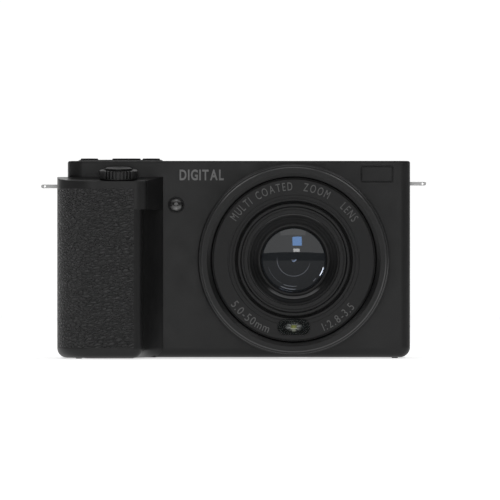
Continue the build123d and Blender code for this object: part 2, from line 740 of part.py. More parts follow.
with BuildPart() as af_lamp_lens:
    lamp_section = half_section(
        ASSIST,
        (0, -2.6),
        (2.2, -2.6),
        (2.2, -0.55),
        (1.9, -0.28),
        (1.4, -0.05),
        (0.8, 0.08),
        (0, 0.12),
    )
    revolve(lamp_section, axis=axis_of(ASSIST))
af_lamp_lens.part.label = "af_lamp_lens"
export_step(af_lamp_lens.part, "parts/af_lamp_lens.step")

with BuildPart() as front_window:
    with BuildSketch(facing_front(BODY_FRONT + 1.0)):
        with Locations((WINDOW_X, WINDOW_Z)):
            RectangleRounded(WINDOW_WIDTH - 2 * WINDOW_GROOVE, WINDOW_HEIGHT - 2 * WINDOW_GROOVE, 0.35)
    extrude(amount=0.97)
    chamfer(front_window.faces().sort_by(Axis.Y)[0].edges(), 0.08)
front_window.part.label = "front_window"
export_step(front_window.part, "parts/front_window.step")

# ------------------------------------------------------------------ lens: fixed pieces
with BuildPart() as lens_collar:
    collar_section = half_section(
        LENS,
        (TUBE_RADIUS + 0.15, 0),
        (COLLAR_RADIUS, 0),
        (COLLAR_RADIUS, 1.3),
        (COLLAR_RADIUS - 0.3, 1.6),
        (TUBE_RADIUS + 0.15, 1.6),
    )
    revolve(collar_section, axis=axis_of(LENS))
lens_collar.part.label = "lens_collar"
export_step(lens_collar.part, "parts/lens_collar.step")

REAR_LENS_RADIUS = 6.0
TUBE_FRONT = 6.8
FLASH_OFFSET = FLASH_Z - LENS_Z


def flash_slot(height, shrink):
    """The stadium outline of the flash lamp, in the lens frame."""
    with BuildSketch(LENS.offset(height)) as outline:
        with Locations((0, FLASH_OFFSET)):
            SlotOverall(FLASH_LENGTH - 2 * shrink, FLASH_WIDTH - 2 * shrink)
    return outline.sketch


with BuildPart() as lens_base_tube:
    tube_section = half_section(
        LENS,
        (REAR_LENS_RADIUS, SLEEVE_REAR),
        (SLEEVE_RADIUS, SLEEVE_REAR),
        (SLEEVE_RADIUS, 4.8),
        (TUBE_RADIUS - 1.5, 4.8),
        (TUBE_RADIUS - 1.5, -3.2),
        (30.0, -3.2),
        (30.0, -1.5),
        (TUBE_RADIUS, -1.5),
        (TUBE_RADIUS, TUBE_FRONT),
        (FACE_BORE, TUBE_FRONT),
        (FACE_BORE, 4.0),
        (SLEEVE_BORE, 4.0),
        (SLEEVE_BORE, -14.8),
        (REAR_LENS_RADIUS, -14.8),
    )
    revolve(tube_section, axis=axis_of(LENS))
    # straight slots that the barrel's pins run in, and the flash lamp's pocket
    slot_low = PIN_HEIGHT - PIN_RADIUS - 0.2
    slot_high = PIN_HEIGHT + BARREL_1_TRAVEL + PIN_RADIUS + 0.2
    for slot_angle in (90, 210, 330):
        slot_plane = Plane(
            origin=LENS.offset((slot_low + slot_high) / 2).origin,
            x_dir=(0, -1, 0),
            z_dir=(cos(radians(slot_angle)), 0, sin(radians(slot_angle))),
        )
        with BuildSketch(slot_plane.offset(SLEEVE_BORE - 1)):
            SlotOverall(slot_high - slot_low, 2 * PIN_RADIUS + 0.12)
        extrude(amount=SLEEVE_RADIUS - SLEEVE_BORE + 1.5, mode=Mode.SUBTRACT)
    extrude(flash_slot(TUBE_FRONT, 0.3), amount=-1.6, mode=Mode.SUBTRACT)
lens_base_tube.part.label = "lens_base_tube"
export_step(lens_base_tube.part, "parts/lens_base_tube.step")

with BuildPart() as lens_face_ring:
    face_section = half_section(
        LENS,
        (FACE_BORE, TUBE_FRONT),
        (FACE_RADIUS, TUBE_FRONT),
        (FACE_RADIUS, FACE_FRONT - 0.2),
        (FACE_RADIUS - 0.2, FACE_FRONT),
        (22.05, FACE_FRONT),
        (21.9, FACE_FRONT - 0.12),
        (21.6, FACE_FRONT - 0.12),
        (21.45, FACE_FRONT),
        (20.75, FACE_FRONT),
        (20.6, FACE_FRONT - 0.12),
        (20.4, FACE_FRONT - 0.12),
        (20.25, FACE_FRONT),
        (FACE_BORE + 0.2, FACE_FRONT),
        (FACE_BORE, FACE_FRONT - 0.2),
    )
    revolve(face_section, axis=axis_of(LENS))
    extrude(flash_slot(FACE_FRONT + 1, 0), amount=-4, mode=Mode.SUBTRACT)
lens_face_ring.part.label = "lens_face_ring"
export_step(lens_face_ring.part, "parts/lens_face_ring.step")

REFLECTOR_FRONT = FACE_FRONT - 0.75
with BuildPart() as flash_reflector:
    extrude(flash_slot(TUBE_FRONT - 1.6, 0.32), amount=REFLECTOR_FRONT - TUBE_FRONT + 1.6)
    loft(
        Sketch()
        + [
            flash_slot(REFLECTOR_FRONT, 0.62).faces()[0],
            flash_slot(TUBE_FRONT - 0.6, 1.9).faces()[0],
        ],
        mode=Mode.SUBTRACT,
    )
flash_reflector.part.label = "flash_reflector"
export_step(flash_reflector.part, "parts/flash_reflector.step")

with BuildPart() as flash_led:
    with BuildSketch(LENS.offset(TUBE_FRONT - 0.6)):
        with Locations((0, FLASH_OFFSET)):
            Rectangle(2.1, 1.3)
    extrude(amount=0.45)
flash_led.part.label = "flash_led"
export_step(flash_led.part, "parts/flash_led.step")

with BuildPart() as flash_window:
    extrude(flash_slot(FACE_FRONT - 0.7, 0.08), amount=0.66)
    chamfer(flash_window.faces().sort_by(Axis.Y)[0].edges(), 0.12)
flash_window.part.label = "flash_window"
export_step(flash_window.part, "parts/flash_window.step")

with BuildPart() as rear_lens:
    revolve(lens_element(REAR_LENS_RADIUS - 0.02, -15.9, -14.9, -0.05, 0.9), axis=axis_of(LENS))
rear_lens.part.label = "rear_lens"
export_step(rear_lens.part, "parts/rear_lens.step")

with BuildPart() as image_sensor:
    with BuildSketch(LENS.offset(SLEEVE_REAR - 1.1)):
        Rectangle(11.0, 9.0)
    extrude(amount=1.0)
image_sensor.part.label = "image_sensor"
export_step(image_sensor.part, "parts/image_sensor.step")

with BuildPart() as sensor_board:
    with BuildSketch(LENS.offset(SLEEVE_REAR - 2.1)):
        RectangleRounded(34.0, 32.0, 2.0)
    extrude(amount=1.0)
sensor_board.part.label = "sensor_board"
export_step(sensor_board.part, "parts/sensor_board.step")

# ------------------------------------------------------------------ lens: control ring
RING_REAR = 1.9
with BuildPart() as control_ring:
    ring_section = half_section(
        LENS,
        (TUBE_RADIUS + 0.05, RING_REAR),
        (CONTROL_RADIUS - 0.6, RING_REAR),
        (CONTROL_RADIUS, RING_REAR + 0.5),
        (CONTROL_RADIUS, 7.9),
        (CONTROL_RADIUS - 0.15, 8.1),
        (CONTROL_RADIUS - 0.6, 8.2),
        (CONTROL_RADIUS - 0.7, 8.35),
        (CONTROL_RADIUS - 0.7, CONTROL_FRONT - 0.3),
        (CONTROL_RADIUS - 1.0, CONTROL_FRONT),
        (29.0, CONTROL_FRONT),
        (27.75, CONTROL_FRONT - 1.2),
        (27.75, 6.9),
        (TUBE_RADIUS + 0.05, 6.5),
    )
    revolve(ring_section, axis=axis_of(LENS))
    # fine axial flutes around the side
    with BuildSketch(LENS.offset(RING_REAR + 0.9)):
        with PolarLocations(CONTROL_RADIUS + 0.28, KNURL_COUNT):
            Circle(0.62)
    extrude(amount=4.6, mode=Mode.SUBTRACT)
control_ring.part.label = "control_ring"
export_step(control_ring.part, "parts/control_ring.step")

# ------------------------------------------------------------------ lens: cam ring, motor and pinion
CAM_PITCH = BARREL_1_TRAVEL * 360 / CAM_TURN
SLOT_MARGIN = 3.6  # degrees of slot past each end of the pin's travel
with BuildPart() as cam_slot:
    with BuildLine() as cam_path:
        Helix(
            pitch=CAM_PITCH,
            height=CAM_PITCH * (CAM_TURN + 2 * SLOT_MARGIN) / 360,
            radius=(CAM_BORE + CAM_RADIUS) / 2,
            lefthand=True,
        )
    with BuildSketch(Plane(origin=cam_path.line @ 0, x_dir=(1, 0, 0), z_dir=cam_path.line % 0)):
        Rectangle(CAM_RADIUS - CAM_BORE + 1.6, 2 * PIN_RADIUS + 0.24)
    sweep(path=cam_path.line, is_frenet=True)

with BuildPart() as cam_ring:
    cam_section = half_section(
        LENS,
        (CAM_BORE, GEAR_REAR),
        (GEAR_MODULE * CAM_TEETH / 2 - 1.25 * GEAR_MODULE, GEAR_REAR),
        (GEAR_MODULE * CAM_TEETH / 2 - 1.25 * GEAR_MODULE, GEAR_FRONT),
        (CAM_RADIUS, GEAR_FRONT),
        (CAM_RADIUS, 4.4),
        (CAM_BORE, 4.4),
    )
    revolve(cam_section, axis=axis_of(LENS))
    with BuildSketch(LENS.offset(GEAR_REAR)):
        tooth_pitch = 360 / CAM_TEETH
        for step in range(SECTOR_TEETH):
            tooth(CAM_TEETH, PINION_DIRECTION + (2 - step) * tooth_pitch)
    extrude(amount=GEAR_FRONT - GEAR_REAR)
    for slot_angle in (90, 210, 330):
        slot_place = LENS.location * Pos(0, 0, PIN_HEIGHT - CAM_PITCH * SLOT_MARGIN / 360)
        add(slot_place * Rot(0, 0, slot_angle + SLOT_MARGIN) * cam_slot.part, mode=Mode.SUBTRACT)
cam_ring.part.label = "cam_ring"
export_step(cam_ring.part, "parts/cam_ring.step")

CENTRE_DISTANCE = GEAR_MODULE * (CAM_TEETH + PINION_TEETH) / 2
PINION = Plane(
    origin=(
        LENS_X + CENTRE_DISTANCE * cos(radians(PINION_DIRECTION)),
        BODY_FRONT,
        LENS_Z + CENTRE_DISTANCE * sin(radians(PINION_DIRECTION)),
    ),
    x_dir=(1, 0, 0),
    z_dir=(0, -1, 0),
)
MOTOR_RADIUS = 3.8
MOTOR_REAR = -11.6
MOTOR_FRONT = -3.5
SHAFT_RADIUS = 0.75
with BuildPart() as motor_pinion:
    with BuildSketch(PINION.offset(GEAR_REAR + 0.1)):
        Circle(GEAR_MODULE * (PINION_TEETH / 2 - 1.25))
        for step in range(PINION_TEETH):
            tooth(PINION_TEETH, PINION_DIRECTION + 180 + (step + 0.5) * 360 / PINION_TEETH)
    extrude(amount=GEAR_FRONT - GEAR_REAR - 0.2)
    with BuildSketch(PINION.offset(GEAR_REAR - 0.2)):
        Circle(SHAFT_RADIUS)
    extrude(amount=MOTOR_REAR - GEAR_REAR + 3.2)
motor_pinion.part.label = "motor_pinion"
export_step(motor_pinion.part, "parts/motor_pinion.step")

with BuildPart() as zoom_motor:
    motor_section = half_section(
        PINION,
        (SHAFT_RADIUS + 0.05, MOTOR_REAR),
        (1.6, MOTOR_REAR),
        (1.6, MOTOR_REAR + 0.5),
        (MOTOR_RADIUS, MOTOR_REAR + 0.5),
        (MOTOR_RADIUS, MOTOR_FRONT),
        (0, MOTOR_FRONT),
        (0, MOTOR_REAR + 3.2),
        (SHAFT_RADIUS + 0.05, MOTOR_REAR + 3.2),
    )
    revolve(motor_section, axis=axis_of(PINION))
zoom_motor.part.label = "zoom_motor"
export_step(zoom_motor.part, "parts/zoom_motor.step")

# ------------------------------------------------------------------ lens: sliding barrels and what they carry
with BuildPart() as lens_barrel_1:
    barrel_section = half_section(
        LENS,
        (BARREL_2_RADIUS + 0.1, -12.5),
        (BARREL_1_RADIUS, -12.5),
        (BARREL_1_RADIUS, BARREL_FRONT - 0.25),
        (BARREL_1_RADIUS - 0.25, BARREL_FRONT),
        (BARREL_2_RADIUS + 0.35, BARREL_FRONT),
        (BARREL_2_RADIUS + 0.1, BARREL_FRONT - 0.25),
    )
    revolve(barrel_section, axis=axis_of(LENS))
    for pin_angle in (90, 210, 330):
        pin_plane = Plane(
            origin=LENS.offset(PIN_HEIGHT).origin,
            x_dir=(0, -1, 0),
            z_dir=(cos(radians(pin_angle)), 0, sin(radians(pin_angle))),
        )
        with BuildSketch(pin_plane.offset(BARREL_1_RADIUS - 0.6)):
            Circle(PIN_RADIUS)
        extrude(amount=CAM_RADIUS - 0.2 - BARREL_1_RADIUS + 0.6)
lens_barrel_1.part.label = "lens_barrel_1"
export_step(lens_barrel_1.part, "parts/lens_barrel_1.step")

LIP_BORE = 15.25
LIP_FRONT = 8.7
with BuildPart() as lens_barrel_2:
    inner_section = half_section(
        LENS,
        (16.6, -9.0),
        (BARREL_2_RADIUS, -9.0),
        (BARREL_2_RADIUS, LIP_FRONT - 0.2),
        (BARREL_2_RADIUS - 0.2, LIP_FRONT),
        (16.85, LIP_FRONT),
        (16.8, LIP_FRONT - 0.15),
        (16.6, LIP_FRONT - 0.15),
        (16.55, LIP_FRONT),
        (LIP_BORE + 0.2, LIP_FRONT),
        (LIP_BORE, LIP_FRONT - 0.2),
        (LIP_BORE, 7.6),
        (16.6, 7.6),
    )
    revolve(inner_section, axis=axis_of(LENS))
lens_barrel_2.part.label = "lens_barrel_2"
export_step(lens_barrel_2.part, "parts/lens_barrel_2.step")

with BuildPart() as front_lens_bezel:
    cone_section = half_section(
        LENS,
        (GLASS_RADIUS, 1.5),
        (16.6, 1.5),
        (16.6, 7.6),
        (LIP_BORE, 7.6),
        (LIP_BORE, 7.9),
        (14.7, 7.9),
        (13.9, 6.9),
        (13.8, 6.9),
        (12.95, 5.9),
        (12.85, 5.9),
        (12.0, 4.9),
        (11.75, 4.9),
        (11.65, 5.1),
        (11.35, 5.1),
        (GLASS_RADIUS, 4.3),
    )
    revolve(cone_section, axis=axis_of(LENS))
front_lens_bezel.part.label = "front_lens_bezel"
export_step(front_lens_bezel.part, "parts/front_lens_bezel.step")

with BuildPart() as front_lens:
    revolve(lens_element(GLASS_RADIUS - 0.01, 1.6, 3.6, -0.5, 1.9), axis=axis_of(LENS))
front_lens.part.label = "front_lens"
export_step(front_lens.part, "parts/front_lens.step")

with BuildPart() as iris_unit:
    iris_section = half_section(
        LENS,
        (5.3, -4.2),
        (16.6, -4.2),
        (16.6, 0.4),
        (11.6, 0.4),
        (8.3, -1.2),
        (8.3, -1.9),
        (7.6, -2.0),
        (5.3, -3.6),
    )
    revolve(iris_section, axis=axis_of(LENS))
iris_unit.part.label = "iris_unit"
export_step(iris_unit.part, "parts/iris_unit.step")

with BuildPart() as inner_lens:
    revolve(lens_element(8.28, -1.75, -0.9, 0.4, 1.0), axis=axis_of(LENS))
inner_lens.part.label = "inner_lens"
export_step(inner_lens.part, "parts/inner_lens.step")

# ------------------------------------------------------------------ battery bay
BATTERY_LEFT = -48.7
BATTERY_RIGHT = -39.1
CARD_LEFT = -37.9
CARD_RIGHT = -35.0
CARD_FRONT = -13.0
CARD_REAR = 11.8
CARD_SLOT_TOP = 38.0
SLOT_PLAY = 0.4
BATTERY_BOTTOM = 2.4
BATTERY_TOP = 42.6
BATTERY_FRONT = BAY_FRONT + 1.0
BATTERY_REAR = BAY_REAR - 1.0
with BuildPart() as battery_box:
    add(block((BAY_LEFT, BAY_FRONT, 3.3), (BAY_RIGHT, BAY_REAR, BAY_TOP)))
    add(
        block((BATTERY_LEFT, BATTERY_FRONT, 0), (BATTERY_RIGHT, BATTERY_REAR, BAY_TOP - 1)),
        mode=Mode.SUBTRACT,
    )
    add(block((CARD_LEFT, CARD_FRONT, 0), (CARD_RIGHT, CARD_REAR, CARD_SLOT_TOP)), mode=Mode.SUBTRACT)
battery_box.part.label = "battery_box"
export_step(battery_box.part, "parts/battery_box.step")

with BuildPart() as battery:
    add(
        block(
            (BATTERY_LEFT + 0.1, BATTERY_FRONT + 0.1, BATTERY_BOTTOM),
            (BATTERY_RIGHT - 0.1, BATTERY_REAR - 0.1, BATTERY_TOP),
        )
    )
    fillet(battery.edges().filter_by(Axis.Z), 1.5)
battery.part.label = "battery"
export_step(battery.part, "parts/battery.step")

with BuildPart() as memory_card:
    add(
        block(
            (CARD_LEFT + SLOT_PLAY, CARD_FRONT + SLOT_PLAY, CARD_SLOT_TOP - 34.0),
            (CARD_RIGHT - SLOT_PLAY, CARD_REAR - SLOT_PLAY, CARD_SLOT_TOP - 2.0),
        )
    )
    chamfer(memory_card.edges().filter_by(Axis.X).group_by(Axis.Z)[-1].sort_by(Axis.Y)[0], 3.0)
memory_card.part.label = "memory_card"
export_step(memory_card.part, "parts/memory_card.step")

LATCH_LEFT = -37.6
LATCH_RIGHT = -34.5
LATCH_FRONT = -5.5
LATCH_REAR = 2.5
LATCH_TRAVEL = 1.5
with BuildPart() as battery_door:
    with BuildSketch(facing_front(DOOR_REAR)):
        add(span((DOOR_PIN_X, DOOR_BOTTOM), (DOOR_RIGHT, DOOR_TOP)))
        with Locations((DOOR_PIN_X, DOOR_PIN_Z)):
            Circle(DOOR_TOP - DOOR_PIN_Z)
    extrude(amount=DOOR_REAR - DOOR_FRONT)
    with BuildSketch(facing_front(DOOR_REAR + DOOR_PIN_REACH)):
        with Locations((DOOR_PIN_X, DOOR_PIN_Z)):
            Circle(DOOR_PIN_RADIUS)
    extrude(amount=DOOR_REAR - DOOR_FRONT + 2 * DOOR_PIN_REACH)
    # guide window for the latch slider, with grooves at its two ends
    add(
        block(
            (LATCH_LEFT - LATCH_TRAVEL - 0.1, LATCH_FRONT - 0.05, DOOR_BOTTOM - 1),
            (LATCH_RIGHT + 0.1, LATCH_REAR + 0.05, DOOR_TOP + 1),
        ),
        mode=Mode.SUBTRACT,
    )
    add(
        block(
            (LATCH_LEFT - LATCH_TRAVEL - 0.1, LATCH_FRONT - 0.85, 0.95),
            (LATCH_RIGHT + 0.1, LATCH_REAR + 0.85, 1.45),
        ),
        mode=Mode.SUBTRACT,
    )
battery_door.part.label = "battery_door"
export_step(battery_door.part, "parts/battery_door.step")

with BuildPart() as battery_door_latch:
    add(block((LATCH_LEFT, LATCH_FRONT, DOOR_BOTTOM + 0.05), (LATCH_RIGHT, LATCH_REAR, DOOR_TOP)))
    add(block((LATCH_LEFT, LATCH_FRONT - 0.8, 1.0), (LATCH_RIGHT, LATCH_REAR + 0.8, 1.4)))
    with BuildSketch(Plane.XY.offset(DOOR_BOTTOM)):
        for ridge in range(3):
            with Locations((LATCH_LEFT + 0.8 + 0.75 * ridge, (LATCH_FRONT + LATCH_REAR) / 2)):
                Rectangle(0.3, 5.0)
    extrude(amount=0.5, mode=Mode.SUBTRACT)
battery_door_latch.part.label = "battery_door_latch"
export_step(battery_door_latch.part, "parts/battery_door_latch.step")

# ------------------------------------------------------------------ port door and the sockets behind it
PORT_PIN_X = BODY_RIGHT - WALL / 2
PORT_PIN_Y = PORT_REAR - WALL / 2
with BuildPart() as port_door:
    with BuildSketch(Plane.XY.offset(PORT_BOTTOM)):
        add(span((BODY_RIGHT - WALL, PORT_FRONT), (BODY_RIGHT, PORT_PIN_Y)))
        with Locations((PORT_PIN_X, PORT_PIN_Y)):
            Circle(WALL / 2)
    extrude(amount=PORT_TOP - PORT_BOTTOM)
    with BuildSketch(Plane.XY.offset(PORT_BOTTOM - 0.9)):
        with Locations((PORT_PIN_X, PORT_PIN_Y)):
            Circle(0.4)
    extrude(amount=PORT_TOP - PORT_BOTTOM + 1.8)
    # finger nick at the free edge
    with BuildSketch(Plane(origin=(BODY_RIGHT, PORT_FRONT, 32.0), x_dir=(0, 1, 0), z_dir=(1, 0, 0))):
        Ellipse(0.9, 3.0)
    extrude(amount=-0.6, mode=Mode.SUBTRACT)
port_door.part.label = "port_door"
export_step(port_door.part, "parts/port_door.step")


USB_Z = 20.0
HDMI_Z = 35.0


def socket_frame(z):
    """A plane at a socket's mouth, facing +X; local x is +Y and local y is +Z."""
    return Plane(origin=(CAVITY_RIGHT - 0.5, 2.0, z), x_dir=(0, 1, 0), z_dir=(1, 0, 0))


with BuildPart() as usb_socket:
    with BuildSketch(socket_frame(USB_Z).offset(-7.3)):
        SlotOverall(8.94, 3.26, rotation=90)
    extrude(amount=7.3)
    with BuildSketch(socket_frame(USB_Z).offset(-6.3)):
        SlotOverall(8.34, 2.56, rotation=90)
    extrude(amount=7.3, mode=Mode.SUBTRACT)
    with BuildSketch(socket_frame(USB_Z).offset(-6.4)):
        Rectangle(0.7, 6.4)
    extrude(amount=5.6)
usb_socket.part.label = "usb_socket"
export_step(usb_socket.part, "parts/usb_socket.step")

with BuildPart() as hdmi_socket:
    with BuildSketch(socket_frame(HDMI_Z).offset(-7.5)):
        RectangleRounded(3.4, 6.9, 0.5)
    extrude(amount=7.5)
    with BuildSketch(socket_frame(HDMI_Z).offset(-6.5)):
        RectangleRounded(2.4, 5.9, 0.4)
    extrude(amount=7.5, mode=Mode.SUBTRACT)
    with BuildSketch(socket_frame(HDMI_Z).offset(-6.6)):
        Rectangle(0.6, 4.2)
    extrude(amount=5.2)
hdmi_socket.part.label = "hdmi_socket"
export_step(hdmi_socket.part, "parts/hdmi_socket.step")

# ------------------------------------------------------------------ strap lugs
LUG_PLATE = 1.2
with BuildPart() as strap_lugs:
    for side, lug_z, wall in ((-1, LUG_LEFT_Z, -CAVITY_LEFT), (1, LUG_RIGHT_Z, CAVITY_RIGHT)):
        bar = sorted((side * (wall - 1), side * LUG_TIP))
        plate = sorted((side * (wall - LUG_PLATE), side * wall))
        add(
            block(
                (bar[0], LUG_Y - LUG_DEPTH / 2, lug_z - LUG_HEIGHT / 2),
                (bar[1], LUG_Y + LUG_DEPTH / 2, lug_z + LUG_HEIGHT / 2),
            )
        )
        add(block((plate[0], LUG_Y - 4, lug_z - 1.8), (plate[1], LUG_Y + 4, lug_z + 1.8)))
        with BuildSketch(facing_front(LUG_Y + LUG_DEPTH)):
            with Locations((side * (LUG_TIP - 1.15), lug_z)):
                Circle(LUG_HOLE_RADIUS)
        extrude(amount=2 * LUG_DEPTH, mode=Mode.SUBTRACT)
    tip_edges = strap_lugs.edges().filter_by(GeomType.LINE).filter_by(Axis.Y)
    fillet([edge for edge in tip_edges if abs(edge.center().X) > LUG_TIP - 0.01], 0.45)
strap_lugs.part.label = "strap_lugs"
export_step(strap_lugs.part, "parts/strap_lugs.step")

# ------------------------------------------------------------------ chassis, tripod bush, feet and screws
CHASSIS_FRONT = 11.0
CHASSIS_REAR = 11.8
CHASSIS_BASE = 3.0
SHELF_LEFT = 8.0
SHELF_RIGHT = 32.0
with BuildPart() as chassis_frame:
    add(block((-30.0, CHASSIS_FRONT, CHASSIS_BASE), (55.0, CHASSIS_REAR, 62.0)))
    # a shelf below the lens takes the tripod bush
    add(block((SHELF_LEFT, -3.0, CAVITY_FLOOR), (SHELF_RIGHT, CHASSIS_REAR, CAVITY_FLOOR + 0.8)))
    add(block((SHELF_LEFT, CHASSIS_FRONT, CAVITY_FLOOR), (SHELF_RIGHT, CHASSIS_REAR, CHASSIS_BASE + 1)))
    add(tripod_hole.part, mode=Mode.SUBTRACT)
    with BuildSketch(facing_front(CHASSIS_REAR + 1)):
        with Locations((-18.0, 32.0), (45.0, 20.0), (45.0, 42.0)):
            RectangleRounded(9.0, 14.0, 1.5)
    extrude(amount=3, mode=Mode.SUBTRACT)
chassis_frame.part.label = "chassis_frame"
export_step(chassis_frame.part, "parts/chassis_frame.step")

with BuildPart() as tripod_bush:
    with BuildSketch(Plane.XY.offset(BODY_BOTTOM)):
        with Locations((LENS_X, TRIPOD_Y)):
            Circle(TRIPOD_OUTER)
    extrude(amount=TRIPOD_DEPTH + 1.0)
    with BuildSketch(Plane.XY.offset(BODY_BOTTOM)):
        with Locations((LENS_X, TRIPOD_Y)):
            Circle(TRIPOD_RADIUS)
    extrude(amount=TRIPOD_DEPTH, mode=Mode.SUBTRACT)
tripod_bush.part.label = "tripod_bush"
export_step(tripod_bush.part, "parts/tripod_bush.step")

with BuildPart() as feet:
    with BuildSketch():
        with Locations(*FEET):
            Circle(FOOT_RADIUS)
    extrude(amount=FOOT_HEIGHT)
    chamfer(feet.faces().group_by(Axis.Z)[0].edges(), 0.08)
feet.part.label = "feet"
export_step(feet.part, "parts/feet.step")

with BuildPart() as case_screws:
    with BuildSketch(Plane.XY.offset(BODY_BOTTOM + 0.1)):
        with Locations(*SCREWS):
            Circle(SCREW_HEAD)
    extrude(amount=0.8)
    with BuildSketch(Plane.XY.offset(BODY_BOTTOM + 0.9)):
        with Locations(*SCREWS):
            Circle(SCREW_SHANK)
    extrude(amount=FLOOR_WALL - 0.4)
    with BuildSketch(Plane.XY.offset(BODY_BOTTOM + 0.1)):
        with Locations(*SCREWS):
            Rectangle(1.7, 0.4)
            Rectangle(0.4, 1.7)
    extrude(amount=0.5, mode=Mode.SUBTRACT)
case_screws.part.label = "case_screws"
export_step(case_screws.part, "parts/case_screws.step")

# ------------------------------------------------------------------ boards and screen
BOARD_THICKNESS = 0.8
MAIN_BOARD_FRONT = 12.6
MAIN_BOARD_REAR = MAIN_BOARD_FRONT + BOARD_THICKNESS
CHIP_HEIGHT = 1.1
CHIPS = [(8.0, 38.0, 14.0), (28.0, 40.0, 9.0), (28.0, 24.0, 11.0), (-14.0, 46.0, 8.0)]
with BuildPart() as main_board:
    add(block((-29.0, MAIN_BOARD_FRONT, 5.0), (53.0, MAIN_BOARD_REAR, 61.0)))
    for chip_x, chip_z, chip_size in CHIPS:
        half = chip_size / 2
        add(
            block(
                (chip_x - half, MAIN_BOARD_REAR, chip_z - half),
                (chip_x + half, MAIN_BOARD_REAR + CHIP_HEIGHT, chip_z + half),
            )
        )
main_board.part.label = "main_board"
export_step(main_board.part, "parts/main_board.step")

PANEL_MARGIN = 3.7
PANEL_DEPTH = 2.4
with BuildPart() as lcd_panel:
    add(
        block(
            (GLASS_LEFT + PANEL_MARGIN, CAVITY_REAR - 0.1 - PANEL_DEPTH, GLASS_BOTTOM + PANEL_MARGIN - 1),
            (GLASS_RIGHT - PANEL_MARGIN, CAVITY_REAR - 0.1, GLASS_TOP - PANEL_MARGIN + 1),
        )
    )
lcd_panel.part.label = "lcd_panel"
export_step(lcd_panel.part, "parts/lcd_panel.step")

with BuildPart() as lcd_cover_glass:
    with BuildSketch(facing_front(GLASS_REAR)):
        with Locations(((GLASS_LEFT + GLASS_RIGHT) / 2, (GLASS_BOTTOM + GLASS_TOP) / 2)):
            RectangleRounded(GLASS_RIGHT - GLASS_LEFT - 0.2, GLASS_TOP - GLASS_BOTTOM - 0.2, 1.9)
    extrude(amount=GLASS_REAR - GLASS_SEAT)
    chamfer(lcd_cover_glass.faces().sort_by(Axis.Y)[-1].edges(), 0.2)
lcd_cover_glass.part.label = "lcd_cover_glass"
export_step(lcd_cover_glass.part, "parts/lcd_cover_glass.step")

KEY_BOARD_REAR = 15.4
with BuildPart() as rear_key_board:
    add(block((-50.5, KEY_BOARD_REAR - BOARD_THICKNESS, 12.0), (-27.0, KEY_BOARD_REAR, 46.0)))
    with BuildSketch(facing_rear(KEY_BOARD_REAR)):
        with Locations((-NAV_X, NAV_Z), *[(-x, z) for x, z in REAR_KEYS]):
            Circle(1.6)
        with Locations((-NAV_X, NAV_Z)):
            with PolarLocations(7.2, 4):
                Circle(1.4)
    extrude(amount=0.4)
rear_key_board.part.label = "rear_key_board"
export_step(rear_key_board.part, "parts/rear_key_board.step")

# ------------------------------------------------------------------ rear controls
NAV = Plane(origin=(NAV_X, BODY_REAR, NAV_Z), x_dir=(-1, 0, 0), z_dir=(0, 1, 0))
with BuildPart() as nav_pad:
    pad_section = half_section(
        NAV,
        (OK_RADIUS + 0.15, -2.4),
        (NAV_RADIUS + 0.6, -2.4),
        (NAV_RADIUS + 0.6, -1.6),
        (NAV_RADIUS, -1.6),
        (NAV_RADIUS, 0.6),
        (NAV_RADIUS - 0.3, 0.9),
        (NAV_RADIUS - 1.2, 1.0),
        (OK_RADIUS + 1.2, 0.6),
        (OK_RADIUS + 0.35, 0.5),
        (OK_RADIUS + 0.15, 0.3),
    )
    revolve(pad_section, axis=axis_of(NAV))
    # four direction marks
    with BuildSketch(NAV.offset(1.2)):
        with PolarLocations(7.4, 4):
            RegularPolygon(0.65, 3)
    extrude(amount=-0.45, mode=Mode.SUBTRACT)
nav_pad.part.label = "nav_pad"
export_step(nav_pad.part, "parts/nav_pad.step")

with BuildPart() as ok_button:
    ok_section = half_section(
        NAV,
        (0, -3.6),
        (OK_RADIUS + 0.7, -3.6),
        (OK_RADIUS + 0.7, -3.0),
        (OK_RADIUS, -3.0),
        (OK_RADIUS, 0.5),
        (OK_RADIUS - 0.25, 0.7),
        (0, 0.6),
    )
    revolve(ok_section, axis=axis_of(NAV))
ok_button.part.label = "ok_button"
export_step(ok_button.part, "parts/ok_button.step")

for key_name, (key_x, key_z) in zip(("menu_button", "play_button"), REAR_KEYS):
    KEY = Plane(origin=(key_x, BODY_REAR, key_z), x_dir=(-1, 0, 0), z_dir=(0, 1, 0))
    with BuildPart() as rear_key:
        key_section = half_section(
            KEY,
            (0, -3.3),
            (1.0, -3.3),
            (1.0, -2.4),
            (REAR_KEY_RADIUS + REAR_KEY_FLANGE, -2.4),
            (REAR_KEY_RADIUS + REAR_KEY_FLANGE, -1.6),
            (REAR_KEY_RADIUS, -1.6),
            (REAR_KEY_RADIUS, 0.45),
            (REAR_KEY_RADIUS - 0.2, 0.65),
            (REAR_KEY_RADIUS - 0.6, 0.72),
            (0, 0.8),
        )
        revolve(key_section, axis=axis_of(KEY))
    rear_key.part.label = key_name
    export_step(rear_key.part, f"parts/{key_name}.step")

with BuildPart() as thumb_rest:
    with BuildSketch(facing_rear(BODY_REAR)):
        with Locations((-THUMB_CENTRE[0], THUMB_CENTRE[1])):
            RectangleRounded(*THUMB_SIZE, 4.0)
    extrude(amount=THUMB_REAR - BODY_REAR)
    fillet(thumb_rest.faces().sort_by(Axis.Y)[-1].edges(), 1.3)
thumb_rest.part.label = "thumb_rest"
export_step(thumb_rest.part, "parts/thumb_rest.step")
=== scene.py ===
import json
import math

import bpy
from mathutils import Matrix, Vector


